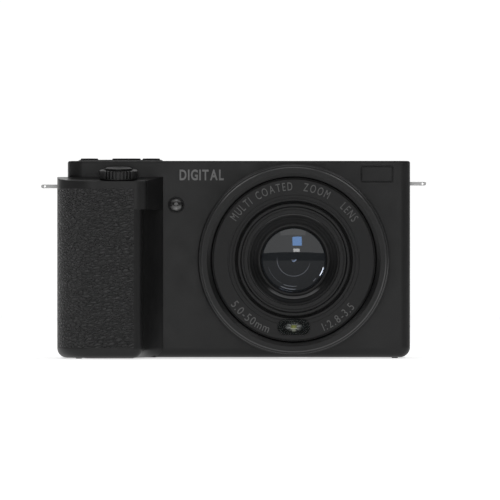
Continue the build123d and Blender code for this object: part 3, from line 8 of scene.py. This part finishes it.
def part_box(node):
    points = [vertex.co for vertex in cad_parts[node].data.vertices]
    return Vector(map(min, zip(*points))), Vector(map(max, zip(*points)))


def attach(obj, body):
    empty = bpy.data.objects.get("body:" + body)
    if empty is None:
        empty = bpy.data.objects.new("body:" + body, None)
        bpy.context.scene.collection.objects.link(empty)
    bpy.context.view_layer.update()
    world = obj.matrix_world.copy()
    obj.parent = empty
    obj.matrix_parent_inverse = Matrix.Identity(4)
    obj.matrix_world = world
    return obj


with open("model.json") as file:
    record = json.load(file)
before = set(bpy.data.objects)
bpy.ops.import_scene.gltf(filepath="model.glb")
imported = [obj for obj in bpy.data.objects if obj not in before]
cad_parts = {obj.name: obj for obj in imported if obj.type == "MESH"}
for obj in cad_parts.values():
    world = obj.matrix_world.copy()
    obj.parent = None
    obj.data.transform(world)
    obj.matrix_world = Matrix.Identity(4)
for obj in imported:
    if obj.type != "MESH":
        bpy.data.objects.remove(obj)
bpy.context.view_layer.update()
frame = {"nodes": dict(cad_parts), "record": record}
nodes = frame["nodes"]
scene = bpy.context.scene
MM = 0.001
WHITE = (1, 1, 1)
X_AXIS, Y_AXIS, Z_AXIS = Vector((1, 0, 0)), Vector((0, 1, 0)), Vector((0, 0, 1))


# ------------------------------------------------------------------ places, from the CAD model
def middle_of(node):
    low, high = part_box(node)
    return (low + high) / 2


ring_middle = middle_of("control_ring")
LENS = Vector((ring_middle.x, 0, ring_middle.z))
LED = middle_of("flash_led")
AF_LAMP = middle_of("af_lamp_lens")
FACE_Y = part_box("lens_face_ring")[0].y
BODY_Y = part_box("front_cover")[0].y
GLASS_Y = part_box("front_lens")[0].y


# ------------------------------------------------------------------ material helpers
class Nodes:
    """A material with one Principled shader, and short calls that add the nodes behind it."""

    def __init__(self, name):
        self.material = bpy.data.materials.new(name)
        self.material.use_nodes = True
        self.tree = self.material.node_tree
        self.tree.nodes.clear()
        self.out = self.add("ShaderNodeOutputMaterial")
        self.shader = self.add("ShaderNodeBsdfPrincipled")
        self.link(self.shader.outputs[0], self.out.inputs["Surface"])

    def add(self, kind, **settings):
        node = self.tree.nodes.new(kind)
        for key, value in settings.items():
            setattr(node, key, value)
        return node

    def link(self, start, end):
        self.tree.links.new(start, end)

    def set(self, **values):
        """Give the shader's sockets plain values, by name."""
        for key, value in values.items():
            self.shader.inputs[key.replace("_", " ")].default_value = value

    def feed(self, **outputs):
        """Link outputs to the shader's sockets, by name."""
        for key, output in outputs.items():
            self.link(output, self.shader.inputs[key.replace("_", " ")])

    def place(self, rotation=(0, 0, 0), scale=(1, 1, 1), location=(0, 0, 0)):
        coordinates = self.add("ShaderNodeTexCoord")
        mapping = self.add("ShaderNodeMapping")
        mapping.inputs["Location"].default_value = location
        mapping.inputs["Rotation"].default_value = [math.radians(a) for a in rotation]
        mapping.inputs["Scale"].default_value = scale
        self.link(coordinates.outputs["Object"], mapping.inputs["Vector"])
        return mapping.outputs["Vector"]

    def noise(self, vector, size, detail=2.0, output="Fac"):
        """Noise with features of about that size, in metres."""
        node = self.add("ShaderNodeTexNoise")
        node.inputs["Scale"].default_value = 1 / size
        node.inputs["Detail"].default_value = detail
        self.link(vector, node.inputs["Vector"])
        return node.outputs[output]

    def ramp(self, value, low, high, to_low, to_high):
        """The value, carried from the range low to high over to another one and held at its ends."""
        node = self.add("ShaderNodeMapRange")
        ends = {"From Min": low, "From Max": high, "To Min": to_low, "To Max": to_high}
        for key, number in ends.items():
            node.inputs[key].default_value = number
        self.link(value, node.inputs["Value"])
        return node.outputs["Result"]

    def maths(self, operation, first, second=0.0):
        node = self.add("ShaderNodeMath", operation=operation)
        for socket, value in zip(node.inputs, (first, second)):
            if isinstance(value, (int, float)):
                socket.default_value = value
            else:
                self.link(value, socket)
        return node.outputs[0]

    def distance(self, value, place):
        return self.maths("ABSOLUTE", self.maths("SUBTRACT", value, place))

    def hypotenuse(self, first, second):
        squares = [self.maths("MULTIPLY", value, value) for value in (first, second)]
        return self.maths("SQRT", self.maths("ADD", *squares))

    def polar(self, centre, wide=1.0, high=1.0):
        """Distances right of, above and around a point on the front; wide and high stretch the last."""
        parts = self.add("ShaderNodeSeparateXYZ")
        self.link(self.place(location=(-centre.x, 0, -centre.z)), parts.inputs[0])
        across, up = parts.outputs["X"], parts.outputs["Z"]
        x, z = self.maths("MULTIPLY", across, 1 / wide), self.maths("MULTIPLY", up, 1 / high)
        return across, up, self.hypotenuse(x, z)

    def colours(self, value, dark, light):
        """A colour that goes from dark, where value is 0, to light, where it's 1."""
        node = self.add("ShaderNodeMix", data_type="RGBA")
        node.inputs["A"].default_value = (*dark, 1)
        node.inputs["B"].default_value = (*light, 1)
        self.link(value, node.inputs["Factor"])
        return node.outputs["Result"]

    def blend(self, value, under, colour):
        """The linked colour, going over to a plain one where value is 1."""
        node = self.add("ShaderNodeMix", data_type="RGBA")
        self.link(value, node.inputs["Factor"])
        self.link(under, node.inputs["A"])
        node.inputs["B"].default_value = (*colour, 1)
        return node.outputs["Result"]

    def relief(self, *layers, edge=0.0):
        """Bump from (height, depth in metres) layers, over edges softened by a radius in metres."""
        normal = None
        if edge:
            bevel = self.add("ShaderNodeBevel", samples=4)
            bevel.inputs["Radius"].default_value = edge
            normal = bevel.outputs["Normal"]
        for height, depth in layers:
            bump = self.add("ShaderNodeBump")
            bump.inputs["Strength"].default_value = 1.0
            bump.inputs["Distance"].default_value = depth
            self.link(height, bump.inputs["Height"])
            if normal is not None:
                self.link(normal, bump.inputs["Normal"])
            normal = bump.outputs["Normal"]
        self.feed(Normal=normal)


def grey(level, blue=0.0):
    """A grey, with a little more blue if asked."""
    return level, level, level + blue


def shades(colour, darker, lighter):
    """A darker and a lighter shade of a colour."""
    return [c * darker for c in colour], [c * lighter for c in colour]


def moulded(name, colour, roughness, grain=0.28 * MM, depth=0.012 * MM, edge=0.18 * MM, specular=0.5):
    """Moulded plastic: a fine satin grain, faint mottling and soft edges."""
    m = Nodes(name)
    where = m.place()
    mottle = m.noise(where, 6 * MM, 3)
    fine = m.noise(where, grain)
    m.feed(
        Base_Color=m.colours(mottle, *shades(colour, 0.86, 1.16)),
        Roughness=m.ramp(mottle, 0.3, 0.7, roughness - 0.04, roughness + 0.05),
    )
    m.set(Specular_IOR_Level=specular)
    m.relief((fine, depth), edge=edge)
    return m.material


def metal(name, colour, roughness, along=(1, 1, 1)):
    """Bare metal with fine drawn or brushed lines; the scale is small along the lines."""
    m = Nodes(name)
    lines = m.noise(m.place(scale=along), 0.25 * MM, 3)
    cloudy = m.noise(m.place(), 3 * MM, 3)
    m.feed(
        Base_Color=m.colours(cloudy, *shades(colour, 0.88, 1.08)),
        Roughness=m.ramp(lines, 0.3, 0.7, roughness - 0.05, roughness + 0.08),
    )
    m.set(Metallic=1.0)
    m.relief((lines, 0.004 * MM), edge=0.1 * MM)
    return m.material


BAND_BLUR = 0.05 * MM
ARC_FULL, ARC_GONE = 0.85, 1.15


def painted_band_mask(m, radius, turn, inner, outer, arc):
    """1 between two radii, all round or only on the arc (middle, half) in degrees."""
    half = (outer - inner) / 2
    away = m.distance(radius, (inner + outer) / 2)
    mask = m.ramp(away, half - BAND_BLUR, half + BAND_BLUR, 1.0, 0.0)
    if not arc:
        return mask
    middle, reach = (math.radians(angle) for angle in arc)
    near = m.maths("COSINE", m.maths("SUBTRACT", turn, middle))
    ends = m.ramp(near, math.cos(reach * ARC_GONE), math.cos(reach * ARC_FULL), 0.0, 1.0)
    return m.maths("MULTIPLY", mask, ends)


def turned(name, colour, roughness, pitch=0.22 * MM, depth=0.006 * MM, specular=0.5, spread=0.05, painted_bands=()):
    """A lens part with very fine turning lines round the lens axis.

    painted_bands gives (inner radius, outer radius, lightness, roughness, middle, half) of each paler band,
    a painted highlight, its radii in mm. Middle and half are degrees from straight down, positive to the
    right; left out, the band goes all round.
    """
    m = Nodes(name)
    across, up, radius = m.polar(LENS)
    turn = m.maths("ARCTAN2", across, m.maths("MULTIPLY", up, -1.0))
    lines = m.maths("SINE", m.maths("MULTIPLY", radius, 2 * math.pi / pitch))
    mottle = m.noise(m.place(), 4 * MM, 3)
    fine = m.noise(m.place(), 0.22 * MM)
    shade = m.colours(mottle, *shades(colour, 0.88, 1.12))
    gloss = m.ramp(fine, 0.3, 0.7, roughness - spread, roughness + spread)
    # Each band lightens the colour as a painted highlight, and sets its own roughness.
    for inner, outer, lightness, shine, *arc in painted_bands:
        mask = painted_band_mask(m, radius, turn, inner * MM, outer * MM, arc)
        shade = m.blend(mask, shade, (lightness, lightness, lightness * 1.02))
        gloss = m.maths("MULTIPLY", gloss, m.ramp(mask, 0.0, 1.0, 1.0, shine / roughness))
    m.feed(Base_Color=shade, Roughness=gloss)
    m.set(Specular_IOR_Level=specular)
    if depth:
        m.relief((lines, depth), (fine, depth), edge=0.12 * MM)
    return m.material


def leather(name, colour, roughness, specular):
    """Moulded leather grain: long, nearly level wrinkles between flat pebbles."""
    tilt, stretch = (0, 12, 0), (0.36, 0.8, 1.0)
    wander, pebbles_per_metre = 0.8 * MM, 1200
    m = Nodes(name)
    where = m.place(rotation=tilt)
    shifted = m.add("ShaderNodeVectorMath", operation="MULTIPLY_ADD")
    m.link(m.noise(where, 1 / 700, 3, "Color"), shifted.inputs[0])
    shifted.inputs[1].default_value = (wander, wander, wander)
    m.link(where, shifted.inputs[2])
    squeezed = m.add("ShaderNodeVectorMath", operation="MULTIPLY")
    m.link(shifted.outputs[0], squeezed.inputs[0])
    squeezed.inputs[1].default_value = stretch
    pebbles = m.add("ShaderNodeTexVoronoi", feature="DISTANCE_TO_EDGE")
    pebbles.inputs["Scale"].default_value = pebbles_per_metre
    m.link(squeezed.outputs[0], pebbles.inputs["Vector"])
    creases = m.ramp(pebbles.outputs["Distance"], 0.0, 0.32, 0.0, 1.0)
    broad = m.noise(squeezed.outputs[0], 0.8 * MM)
    fine = m.noise(m.place(), 0.12 * MM)
    height = m.maths("ADD", m.maths("MULTIPLY", creases, 0.6), m.maths("MULTIPLY", broad, 0.8))
    # Colour follows the grain height: darker in the wrinkles as painted shade, lighter on the pebbles.
    m.feed(
        Base_Color=m.colours(height, *shades(colour, 0.1, 2.3)),
        Roughness=m.ramp(creases, 0.0, 1.0, roughness + 0.14, roughness - 0.05),
    )
    m.set(Specular_IOR_Level=specular)
    m.relief((height, 1.2 * MM), (fine, 0.01 * MM))
    return m.material


def board(name):
    """A circuit board: green solder mask with gold tracks and pads."""
    mask_green, track_gold = (0.008, 0.085, 0.035), (0.45, 0.33, 0.09)
    m = Nodes(name)
    cells = m.add("ShaderNodeTexVoronoi", distance="MANHATTAN")
    cells.inputs["Scale"].default_value = 420
    m.link(m.place(scale=(1, 0.05, 1)), cells.inputs["Vector"])
    tracks = m.ramp(cells.outputs["Distance"], 0.1, 0.14, 1.0, 0.0)
    m.feed(Base_Color=m.colours(tracks, mask_green, track_gold))
    m.set(Roughness=0.35)
    m.relief((tracks, 0.03 * MM))
    return m.material


def smoked_pane(name):
    """A thin, faintly tinted pane that shows what is behind it."""
    m = Nodes(name)
    haze = m.noise(m.place(), 2 * MM)
    m.feed(Base_Color=m.colours(haze, (0.0040, 0.0060, 0.0058), (0.0050, 0.0076, 0.0072)))
    m.set(Alpha=0.25, Roughness=0.1, Specular_IOR_Level=0.3)
    return m.material


def screen_cover(name):
    """Black glass with faint smudges."""
    m = Nodes(name)
    m.set(Base_Color=(*grey(0.004, 0.0005), 1), Specular_IOR_Level=0.4)
    smudge = m.noise(m.place(), 12 * MM, 4)
    m.feed(Roughness=m.ramp(smudge, 0.35, 0.75, 0.05, 0.13))
    return m.material


def sensor_face(name):
    """The violet sheen of an image sensor's face."""
    m = Nodes(name)
    fine = m.noise(m.place(), 0.8 * MM)
    m.feed(Base_Color=m.colours(fine, (0.05, 0.03, 0.09), (0.09, 0.05, 0.13)))
    m.set(Roughness=0.1)
    return m.material


def reflector_bowl(name):
    """A dark bowl with silver rays round the LED and a painted highlight, a white spot, under it."""
    ray_count, highlight_drop = 10, 1.15 * MM
    m = Nodes(name)
    across, up, reach = m.polar(LED, 1.35, 0.8)
    waves = m.maths("SINE", m.maths("MULTIPLY", m.maths("ARCTAN2", up, across), ray_count))
    rays = m.ramp(waves, -0.2, 0.9, 0.35, 1.0)
    glow = m.maths("MULTIPLY", rays, m.ramp(reach, 0.7 * MM, 2.2 * MM, 1.0, 0.0))
    # Painted highlight: a white spot just under the LED.
    from_highlight_spot = m.polar(LED - Vector((0, 0, highlight_drop)), 1.0, 0.5)[2]
    highlight_spot = m.ramp(from_highlight_spot, 0.55 * MM, 0.8 * MM, 1.0, 0.0)
    silver = m.colours(glow, (0.008, 0.012, 0.012), (0.95, 1.0, 0.98))
    m.feed(Base_Color=m.blend(highlight_spot, silver, WHITE), Roughness=m.ramp(glow, 0.0, 1.0, 0.45, 0.25))
    m.set(Metallic=0.6)
    return m.material


def led_chip(name):
    """Yellow-green phosphor, shaded toward the rim and with a white highlight low down, both painted."""
    m = Nodes(name)
    _, up, reach = m.polar(LED)
    # Painted shade: the phosphor darkens from its middle toward its rim.
    painted_rim_shade = m.ramp(reach, 0.35 * MM, 0.9 * MM, 0.0, 1.0)
    phosphor = m.colours(painted_rim_shade, (0.62, 0.70, 0.10), (0.30, 0.34, 0.12))
    # Painted highlight: white along the chip's lower edge.
    painted_low_highlight = m.ramp(up, -0.55 * MM, -0.25 * MM, 1.0, 0.0)
    both = m.add("ShaderNodeMix", data_type="RGBA", blend_type="ADD")
    both.inputs["Factor"].default_value = 1.0
    m.link(phosphor, both.inputs["A"])
    m.link(m.colours(painted_low_highlight, (0.0, 0.0, 0.0), (1.0, 1.0, 0.95)), both.inputs["B"])
    m.feed(Base_Color=both.outputs["Result"])
    m.set(Roughness=0.35)
    return m.material


def focus_lamp(name):
    """A grey lamp lens with a dark level band, two darker spots in it and a painted glint under it."""
    band_up, spot_across, glint_down = 0.2 * MM, 0.75 * MM, 1.25 * MM
    m = Nodes(name)
    across, up, _ = m.polar(AF_LAMP)
    outside = m.ramp(m.distance(up, band_up), 0.45 * MM, 0.95 * MM, 0.0, 1.0)
    beside = m.distance(m.maths("ABSOLUTE", across), spot_across)
    spots = m.ramp(beside, 0.15 * MM, 0.5 * MM, 0.0, 0.12)
    # Painted highlight: a bright glint below the band.
    from_glint = m.hypotenuse(across, m.maths("ADD", up, glint_down))
    painted_glint = m.ramp(from_glint, 0.1 * MM, 0.5 * MM, 0.7, 0.0)
    pale = m.maths("MAXIMUM", m.maths("MULTIPLY", outside, 0.55), spots)
    m.feed(Base_Color=m.colours(m.maths("ADD", pale, painted_glint), grey(0.004), grey(0.22)))
    m.set(Roughness=0.12, Specular_IOR_Level=0.4, Coat_Weight=0.3, Coat_Roughness=0.05)
    return m.material


# ------------------------------------------------------------------ materials
slot_materials = {
    "body_black": moulded("body_black", grey(0.0090, 0.0002), 0.36, specular=0.3),
    "grip_plastic": moulded("grip_plastic", grey(0.0090, 0.0002), 0.36, specular=0.3),
    "grip_leatherette": leather("grip_leatherette", grey(0.0120, 0.0002), 0.38, 0.42),
    "key_black": moulded("key_black", grey(0.0050, 0.0002), 0.46, edge=0.1 * MM, specular=0.16),
    # The paler bands on the ring's two bevel edges are glossier and lightened as a painted highlight.
    "ring_black": turned(
        "ring_black", grey(0.0085, 0.0002), 0.40, specular=0.35,
        painted_bands=((30.55, 30.95, 0.05, 0.22), (31.4, 31.75, 0.05, 0.22)),
    ),
    "lens_black": turned("lens_black", grey(0.0085, 0.0003), 0.42, specular=0.3),
    # Dark coated glass; its bands are painted highlights and glints of the edges of the glasses behind it.
    "lens_glass": turned(
        "lens_glass", (0.0078, 0.0081, 0.0080), 0.03, depth=0.0, specular=0.12, spread=0.0,
        painted_bands=(
            (5.42, 5.66, 0.045, 0.03, -10, 80),
            (8.75, 8.90, 0.030, 0.03, -50, 22),
            (8.85, 9.05, 0.070, 0.03, -8, 14),
            (9.80, 10.05, 0.090, 0.03, -11, 14),
            (10.6, 10.8, 0.070, 0.03, -15, 12),
            (9.60, 9.85, 0.060, 0.03, 46, 4),
            (10.1, 10.45, 0.60, 0.03, 67, 8),
        ),
    ),
    "window_black": moulded(
        "window_black", grey(0.0098, 0.0002), 0.40, grain=0.6 * MM, depth=0.002 * MM, specular=0.3
    ),
    "lamp_lens": focus_lamp("lamp_lens"),
    "flash_glass": smoked_pane("flash_glass"),
    "reflector": reflector_bowl("reflector"),
    "led_yellow": led_chip("led_yellow"),
    "lug_steel": metal("lug_steel", grey(0.40), 0.36, along=(0.15, 1, 1)),
    "steel": metal("steel", grey(0.40, 0.01), 0.38, along=(0.1, 1, 1)),
    "spring_steel": metal("spring_steel", grey(0.45, 0.01), 0.25),
    "board_green": board("board_green"),
    "sensor": sensor_face("sensor"),
    "battery_wrap": moulded("battery_wrap", (0.06, 0.065, 0.085), 0.38),
    "card_black": moulded("card_black", grey(0.03, 0.004), 0.45),
    "screen": moulded("screen", grey(0.004, 0.0005), 0.22, depth=0.001 * MM),
    "screen_glass": screen_cover("screen_glass"),
    "foot_rubber": moulded("foot_rubber", grey(0.0080), 0.75),
    "status_lamp": moulded("status_lamp", (0.02, 0.024, 0.022), 0.18),
    "thumb_rubber": moulded("thumb_rubber", grey(0.0110, 0.0005), 0.70, grain=0.5 * MM, depth=0.04 * MM),
    "mesh_black": moulded("mesh_black", grey(0.02), 0.4),
}
node_materials = {
    # The cone's paler bands are painted highlights on its rims and a painted reflection low on the cone.
    "front_lens_bezel": turned(
        "cone_black", grey(0.0078, 0.0003), 0.40, pitch=0.35 * MM, depth=0.01 * MM, specular=0.25,
        painted_bands=(
            (11.4, 11.6, 0.028, 0.40),
            (12.3, 13.15, 0.110, 0.35, 0.5, 38),
            (15.15, 15.4, 0.110, 0.30, -50, 27),
            (15.0, 15.25, 0.060, 0.30, 180, 36),
        ),
    ),
    # The paler rings are painted highlights on the iris and baffle edges.
    "iris_unit": turned(
        "inner_black", (0.0040, 0.0042, 0.0048), 0.35, pitch=1.1 * MM, depth=0.03 * MM,
        painted_bands=((5.2, 5.5, 0.10, 0.3), (7.5, 7.7, 0.08, 0.25), (8.6, 8.8, 0.08, 0.25)),
    ),
    "zoom_lever_ring": moulded("lever_black", grey(0.0160, 0.0003), 0.38, edge=0.1 * MM, specular=0.3),
}
for subpart in frame["record"]["subparts"]:
    name = subpart["node"]
    materials = nodes[name].data.materials
    materials.clear()
    materials.append(node_materials.get(name) or slot_materials[subpart["material_slot"]])


# ------------------------------------------------------------------ flat shapes and letters
def flat(outline):
    """One flat shape from (across, up) points in mm."""
    return [Vector((x * MM, y * MM, 0)) for x, y in outline], [list(range(len(outline)))]


def bar(left, bottom, right, top):
    """A flat rectangle, in mm."""
    return flat(((left, bottom), (right, bottom), (right, top), (left, top)))


def ring(radius, width, start, stop, sides=28):
    """Part of a flat ring in mm, from start to stop degrees."""
    points, faces = [], []
    for i in range(sides + 1):
        turn = math.radians(start + (stop - start) * i / sides)
        for reach in (radius - width / 2, radius + width / 2):
            points.append(Vector((math.cos(turn), math.sin(turn), 0)) * reach * MM)
        if i:
            faces.append([2 * i - 2, 2 * i - 1, 2 * i + 1, 2 * i])
    return points, faces


def glyph(letter, size, weight):
    """A letter's flat outline as (points, faces, left, right), at the origin."""
    curve = bpy.data.curves.new("glyph", "FONT")
    curve.body = letter
    curve.size = size
    curve.offset = weight * size
    curve.resolution_u = 4
    holder = bpy.data.objects.new("glyph", curve)
    mesh = bpy.data.meshes.new_from_object(holder)
    points = [v.co.copy() for v in mesh.vertices]
    faces = [list(p.vertices) for p in mesh.polygons]
    bpy.data.objects.remove(holder)
    bpy.data.curves.remove(curve)
    bpy.data.meshes.remove(mesh)
    xs = [p.x for p in points]
    return points, faces, min(xs), max(xs)


def set_line(text, size, narrow, gap, space, weight=0.0):
    """Letters set in a line as [(points, faces, left, place, width)], and the line's length."""
    letters, x = [], 0.0
    for letter in text:
        if letter == " ":
            x += space * size
            continue
        points, faces, left, right = glyph(letter, size, weight)
        width = (right - left) * narrow
        letters.append((points, faces, left * narrow, x, width))
        x += width + gap * size
    return letters, x - gap * size


def facing(origin, right, up):
    """A matrix that lays flat shapes at origin, with these two directions across and up."""
    turn = Matrix((right, up, right.cross(up))).transposed().to_4x4()
    return Matrix.Translation(origin) @ turn


def shift(x):
    return Matrix.Translation((x, 0, 0))


def straight_text(text, size, origin, right, up, narrow, gap, weight=0.0):
    """Parts for a straight line of letters, centred on origin."""
    letters, length = set_line(text, size, narrow, gap, 0.45, weight)
    page, stretch = facing(origin, right, up), Matrix.Diagonal((narrow, 1, 1, 1))
    return [
        (points, faces, page @ shift(place - left - length / 2) @ stretch)
        for points, faces, left, place, _ in letters
    ]


def arc_text(text, size, y, radius, middle, narrow, gap, space=0.55, below=False):
    """Parts for letters round the lens axis, seen from the front. Below reads along the bottom."""
    letters, length = set_line(text, size, narrow, gap, space)
    stretch = Matrix.Diagonal((narrow, 1, 1, 1))
    parts = []
    for points, faces, left, place, width in letters:
        turn = (place + width / 2 - length / 2) / radius
        angle = math.radians(middle) + (turn if below else -turn)
        out = Vector((math.cos(angle), 0, math.sin(angle)))
        up = -out if below else out
        right = Vector((up.z, 0, -up.x))
        page = facing(Vector((LENS.x, y, LENS.z)) + out * radius, right, up)
        parts.append((points, faces, page @ shift(-width / 2 - left) @ stretch))
    return parts


def printed(name, parts, material, body):
    """One thin printed piece from (points, faces, matrix) parts."""
    vertices, faces = [], []
    for points, polygons, matrix in parts:
        start = len(vertices)
        vertices += [matrix @ p for p in points]
        faces += [[start + i for i in polygon] for polygon in polygons]
    mesh = bpy.data.meshes.new(name)
    mesh.from_pydata([tuple(v) for v in vertices], [], faces)
    mesh.materials.append(material)
    piece = bpy.data.objects.new(name, mesh)
    scene.collection.objects.link(piece)
    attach(piece, body)


def ink(name, colour):
    """Slightly patchy printing ink."""
    m = Nodes(name)
    patchy = m.noise(m.place(), 0.4 * MM)
    m.feed(Base_Color=m.colours(patchy, *shades(colour, 0.85, 1.1)))
    m.set(Roughness=0.5)
    return m.material


# ------------------------------------------------------------------ printing on the front
PROUD = 0.02 * MM
MARK_SIZE, LETTER = 4.9 * MM, 3.9 * MM
mark_ink = ink("mark_ink", grey(0.17))
face_ink = ink("face_ink", grey(0.085))
key_ink = ink("key_ink", grey(0.45, 0.01))
red_ink = ink("red_ink", (0.45, 0.02, 0.02))

mark_place = Vector((-10.7 * MM, BODY_Y - PROUD, 59.75 * MM))
mark = straight_text("DIGITAL", MARK_SIZE, mark_place, X_AXIS, Z_AXIS, narrow=0.70, gap=0.10, weight=0.024)
printed("front_mark", mark, mark_ink, "camera_body")

TOP_RADIUS, LOW_RADIUS = 23.1 * MM, 25.9 * MM
face = (LETTER, FACE_Y - PROUD)
top_line = arc_text("MULTI COATED  ZOOM   LENS", *face, TOP_RADIUS, 89.5, 0.65, 0.15, space=0.38)
left_line = arc_text("5.0-50mm", *face, LOW_RADIUS, 233, 0.86, 0.17, below=True)
right_line = arc_text("1:2.8-3.5", *face, LOW_RADIUS, 307.5, 0.78, 0.19, below=True)
printed("face_lettering", top_line + left_line + right_line, face_ink, "camera_body")

# ------------------------------------------------------------------ marks on the keys
SKIM = 0.005 * MM
REAR = (-X_AXIS, Z_AXIS)
ABOVE = (-X_AXIS, -Y_AXIS)


def on_key(node, right, up):
    """A matrix that lays flat shapes on a key's rear or top face, centred."""
    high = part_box(node)[1]
    origin = middle_of(node)
    if abs(right.cross(up).y) > 0.5:
        origin.y = high.y + SKIM
    else:
        origin.z = high.z + SKIM
    return facing(origin, right, up)


power_place = on_key("power_button", *ABOVE)
power_marks = (ring(0.95, 0.22, 125, 415), bar(-0.11, 0.25, 0.11, 1.2))
printed("power_symbol", [(*shape, power_place) for shape in power_marks], key_ink, "power_button")

record_mark = (*ring(0.35, 0.7, 0, 360), on_key("record_button", *ABOVE))
printed("record_dot", [record_mark], red_ink, "record_button")

play_mark = (*flat(((-0.7, -0.8), (0.85, 0), (-0.7, 0.8))), on_key("play_button", *REAR))
printed("play_symbol", [play_mark], key_ink, "play_button")

menu_place = on_key("menu_button", *REAR)
menu_lines = [(*bar(-0.85, up - 0.13, 0.85, up + 0.13), menu_place) for up in (-0.55, 0.0, 0.55)]
printed("menu_symbol", menu_lines, key_ink, "menu_button")

ok_foot = on_key("ok_button", *REAR).translation - Vector((0, 0, 0.85 * MM))
ok_text = straight_text("OK", 2.4 * MM, ok_foot, *REAR, narrow=0.9, gap=0.1)
printed("ok_symbol", ok_text, key_ink, "ok_button")


# ------------------------------------------------------------------ studio lights
def area_light(name, place, target, width, height, power, colour=WHITE):
    data = bpy.data.lights.new(name, "AREA")
    data.shape = "RECTANGLE"
    data.size, data.size_y = width, height
    data.energy = power
    data.color = colour
    light = bpy.data.objects.new(name, data)
    scene.collection.objects.link(light)
    light.location = place
    light.rotation_euler = (Vector(target) - Vector(place)).to_track_quat("-Z", "Y").to_euler()
    light.visible_camera = False
    return light


def link_light(light, thing, state):
    """INCLUDE lets the light reach this object alone, EXCLUDE everything but it."""
    group = bpy.data.collections.new(light.name + "_group")
    group.objects.link(thing)
    group.collection_objects[0].light_linking.link_state = state
    light.light_linking.receiver_collection = group


BODY_MIDDLE = (0, 0, 0.03)
front = area_light("front", (0.0, -2.4, 0.35), BODY_MIDDLE, 0.9, 0.6, 3.6)
link_light(front, nodes["front_lens"], "EXCLUDE")
area_light("high", (0.0, -1.7, 1.5), BODY_MIDDLE, 1.2, 0.8, 6.0)
for side, name in ((-1, "top_left"), (1, "top_right")):
    area_light(name, (side * 1.35, 0.0, 1.9), (0, 0, 0), 1.4, 1.0, 10.0)
area_light("top", (0.0, 0.1, 2.3), (0, 0.1, 0), 1.2, 1.2, 5)

# What the front glass mirrors: a pale wall in its upper half, a blue window and a small lamp.
WALL_Y = -1.6
WALL_LOW, WALL_HEIGHT = 0.29, 1.30
WINDOW_BLUE = (0.20, 0.46, 1.0)
wall_z = WALL_LOW + WALL_HEIGHT / 2
glass_middle = (LENS.x, GLASS_Y, LENS.z)
mirrored = (
    area_light("glass_card", (0.0, WALL_Y, wall_z), (0.0, 0.0, wall_z), 3.0, WALL_HEIGHT, 56),
    area_light("glass_window", (0.158, WALL_Y, 0.71), glass_middle, 0.34, 0.34, 13, WINDOW_BLUE),
    area_light("glass_lamp", (0.13, WALL_Y, 0.36), glass_middle, 0.22, 0.11, 2.4),
)
for light in mirrored:
    link_light(light, nodes["front_lens"], "INCLUDE")

# ------------------------------------------------------------------ floor
FLOOR_RADIUS, FLOOR_SIDES = 1.3, 96
FLOOR_GLOW = 0.6
floor_turns = [2 * math.pi * i / FLOOR_SIDES for i in range(FLOOR_SIDES)]
corners = [(FLOOR_RADIUS * math.cos(turn), FLOOR_RADIUS * math.sin(turn), 0) for turn in floor_turns]
floor_mesh = bpy.data.meshes.new("floor")
floor_mesh.from_pydata(corners, [], [list(range(FLOOR_SIDES))])
floor = bpy.data.objects.new("floor", floor_mesh)
scene.collection.objects.link(floor)
floor_pale = Nodes("floor_pale")
floor_pale.set(Base_Color=(0.9, 0.9, 0.9, 1), Roughness=0.8, Specular_IOR_Level=0.1)
floor_pale.set(Emission_Color=(1, 1, 1, 1), Emission_Strength=FLOOR_GLOW)
floor_mesh.materials.append(floor_pale.material)

# ------------------------------------------------------------------ sky: bright behind, white to the camera
SIDE_SKY, BACK_SKY, SEEN_SKY = 0.07, 1.3, 1.05
BEHIND_FROM, BEHIND_FULL = 0.6, 0.95
world = bpy.data.worlds.new("studio")
scene.world = world
world.use_nodes = True
sky = world.node_tree
sky.nodes.clear()


def background():
    node = sky.nodes.new("ShaderNodeBackground")
    node.inputs["Color"].default_value = (1, 1, 1, 1)
    return node


sky_out = sky.nodes.new("ShaderNodeOutputWorld")
direction = sky.nodes.new("ShaderNodeTexCoord")
split = sky.nodes.new("ShaderNodeSeparateXYZ")
sky.links.new(direction.outputs["Generated"], split.inputs[0])
behind = sky.nodes.new("ShaderNodeMapRange")
behind.inputs["From Min"].default_value = BEHIND_FROM
behind.inputs["From Max"].default_value = BEHIND_FULL
behind.inputs["To Min"].default_value = SIDE_SKY
behind.inputs["To Max"].default_value = BACK_SKY
sky.links.new(split.outputs["Y"], behind.inputs["Value"])
light_sky, seen_sky = background(), background()
sky.links.new(behind.outputs["Result"], light_sky.inputs["Strength"])
seen_sky.inputs["Strength"].default_value = SEEN_SKY
path = sky.nodes.new("ShaderNodeLightPath")
mix = sky.nodes.new("ShaderNodeMixShader")
sky.links.new(path.outputs["Is Camera Ray"], mix.inputs["Fac"])
sky.links.new(light_sky.outputs[0], mix.inputs[1])
sky.links.new(seen_sky.outputs[0], mix.inputs[2])
sky.links.new(mix.outputs[0], sky_out.inputs["Surface"])
scene.view_settings.view_transform = "Standard"

# ------------------------------------------------------------------ camera
CAMERA_X, CAMERA_Z = 5.49 * MM, 36.28 * MM
CAMERA_AWAY = 2.0
camera_data = bpy.data.cameras.new("camera")
camera_data.sensor_width = 36
camera_data.lens = 430.0
camera_data.clip_start, camera_data.clip_end = 0.05, 20
camera = bpy.data.objects.new("camera", camera_data)
scene.collection.objects.link(camera)
camera.location = (CAMERA_X, BODY_Y - CAMERA_AWAY, CAMERA_Z)
camera.rotation_euler = (math.radians(90), 0, 0)
scene.camera = camera
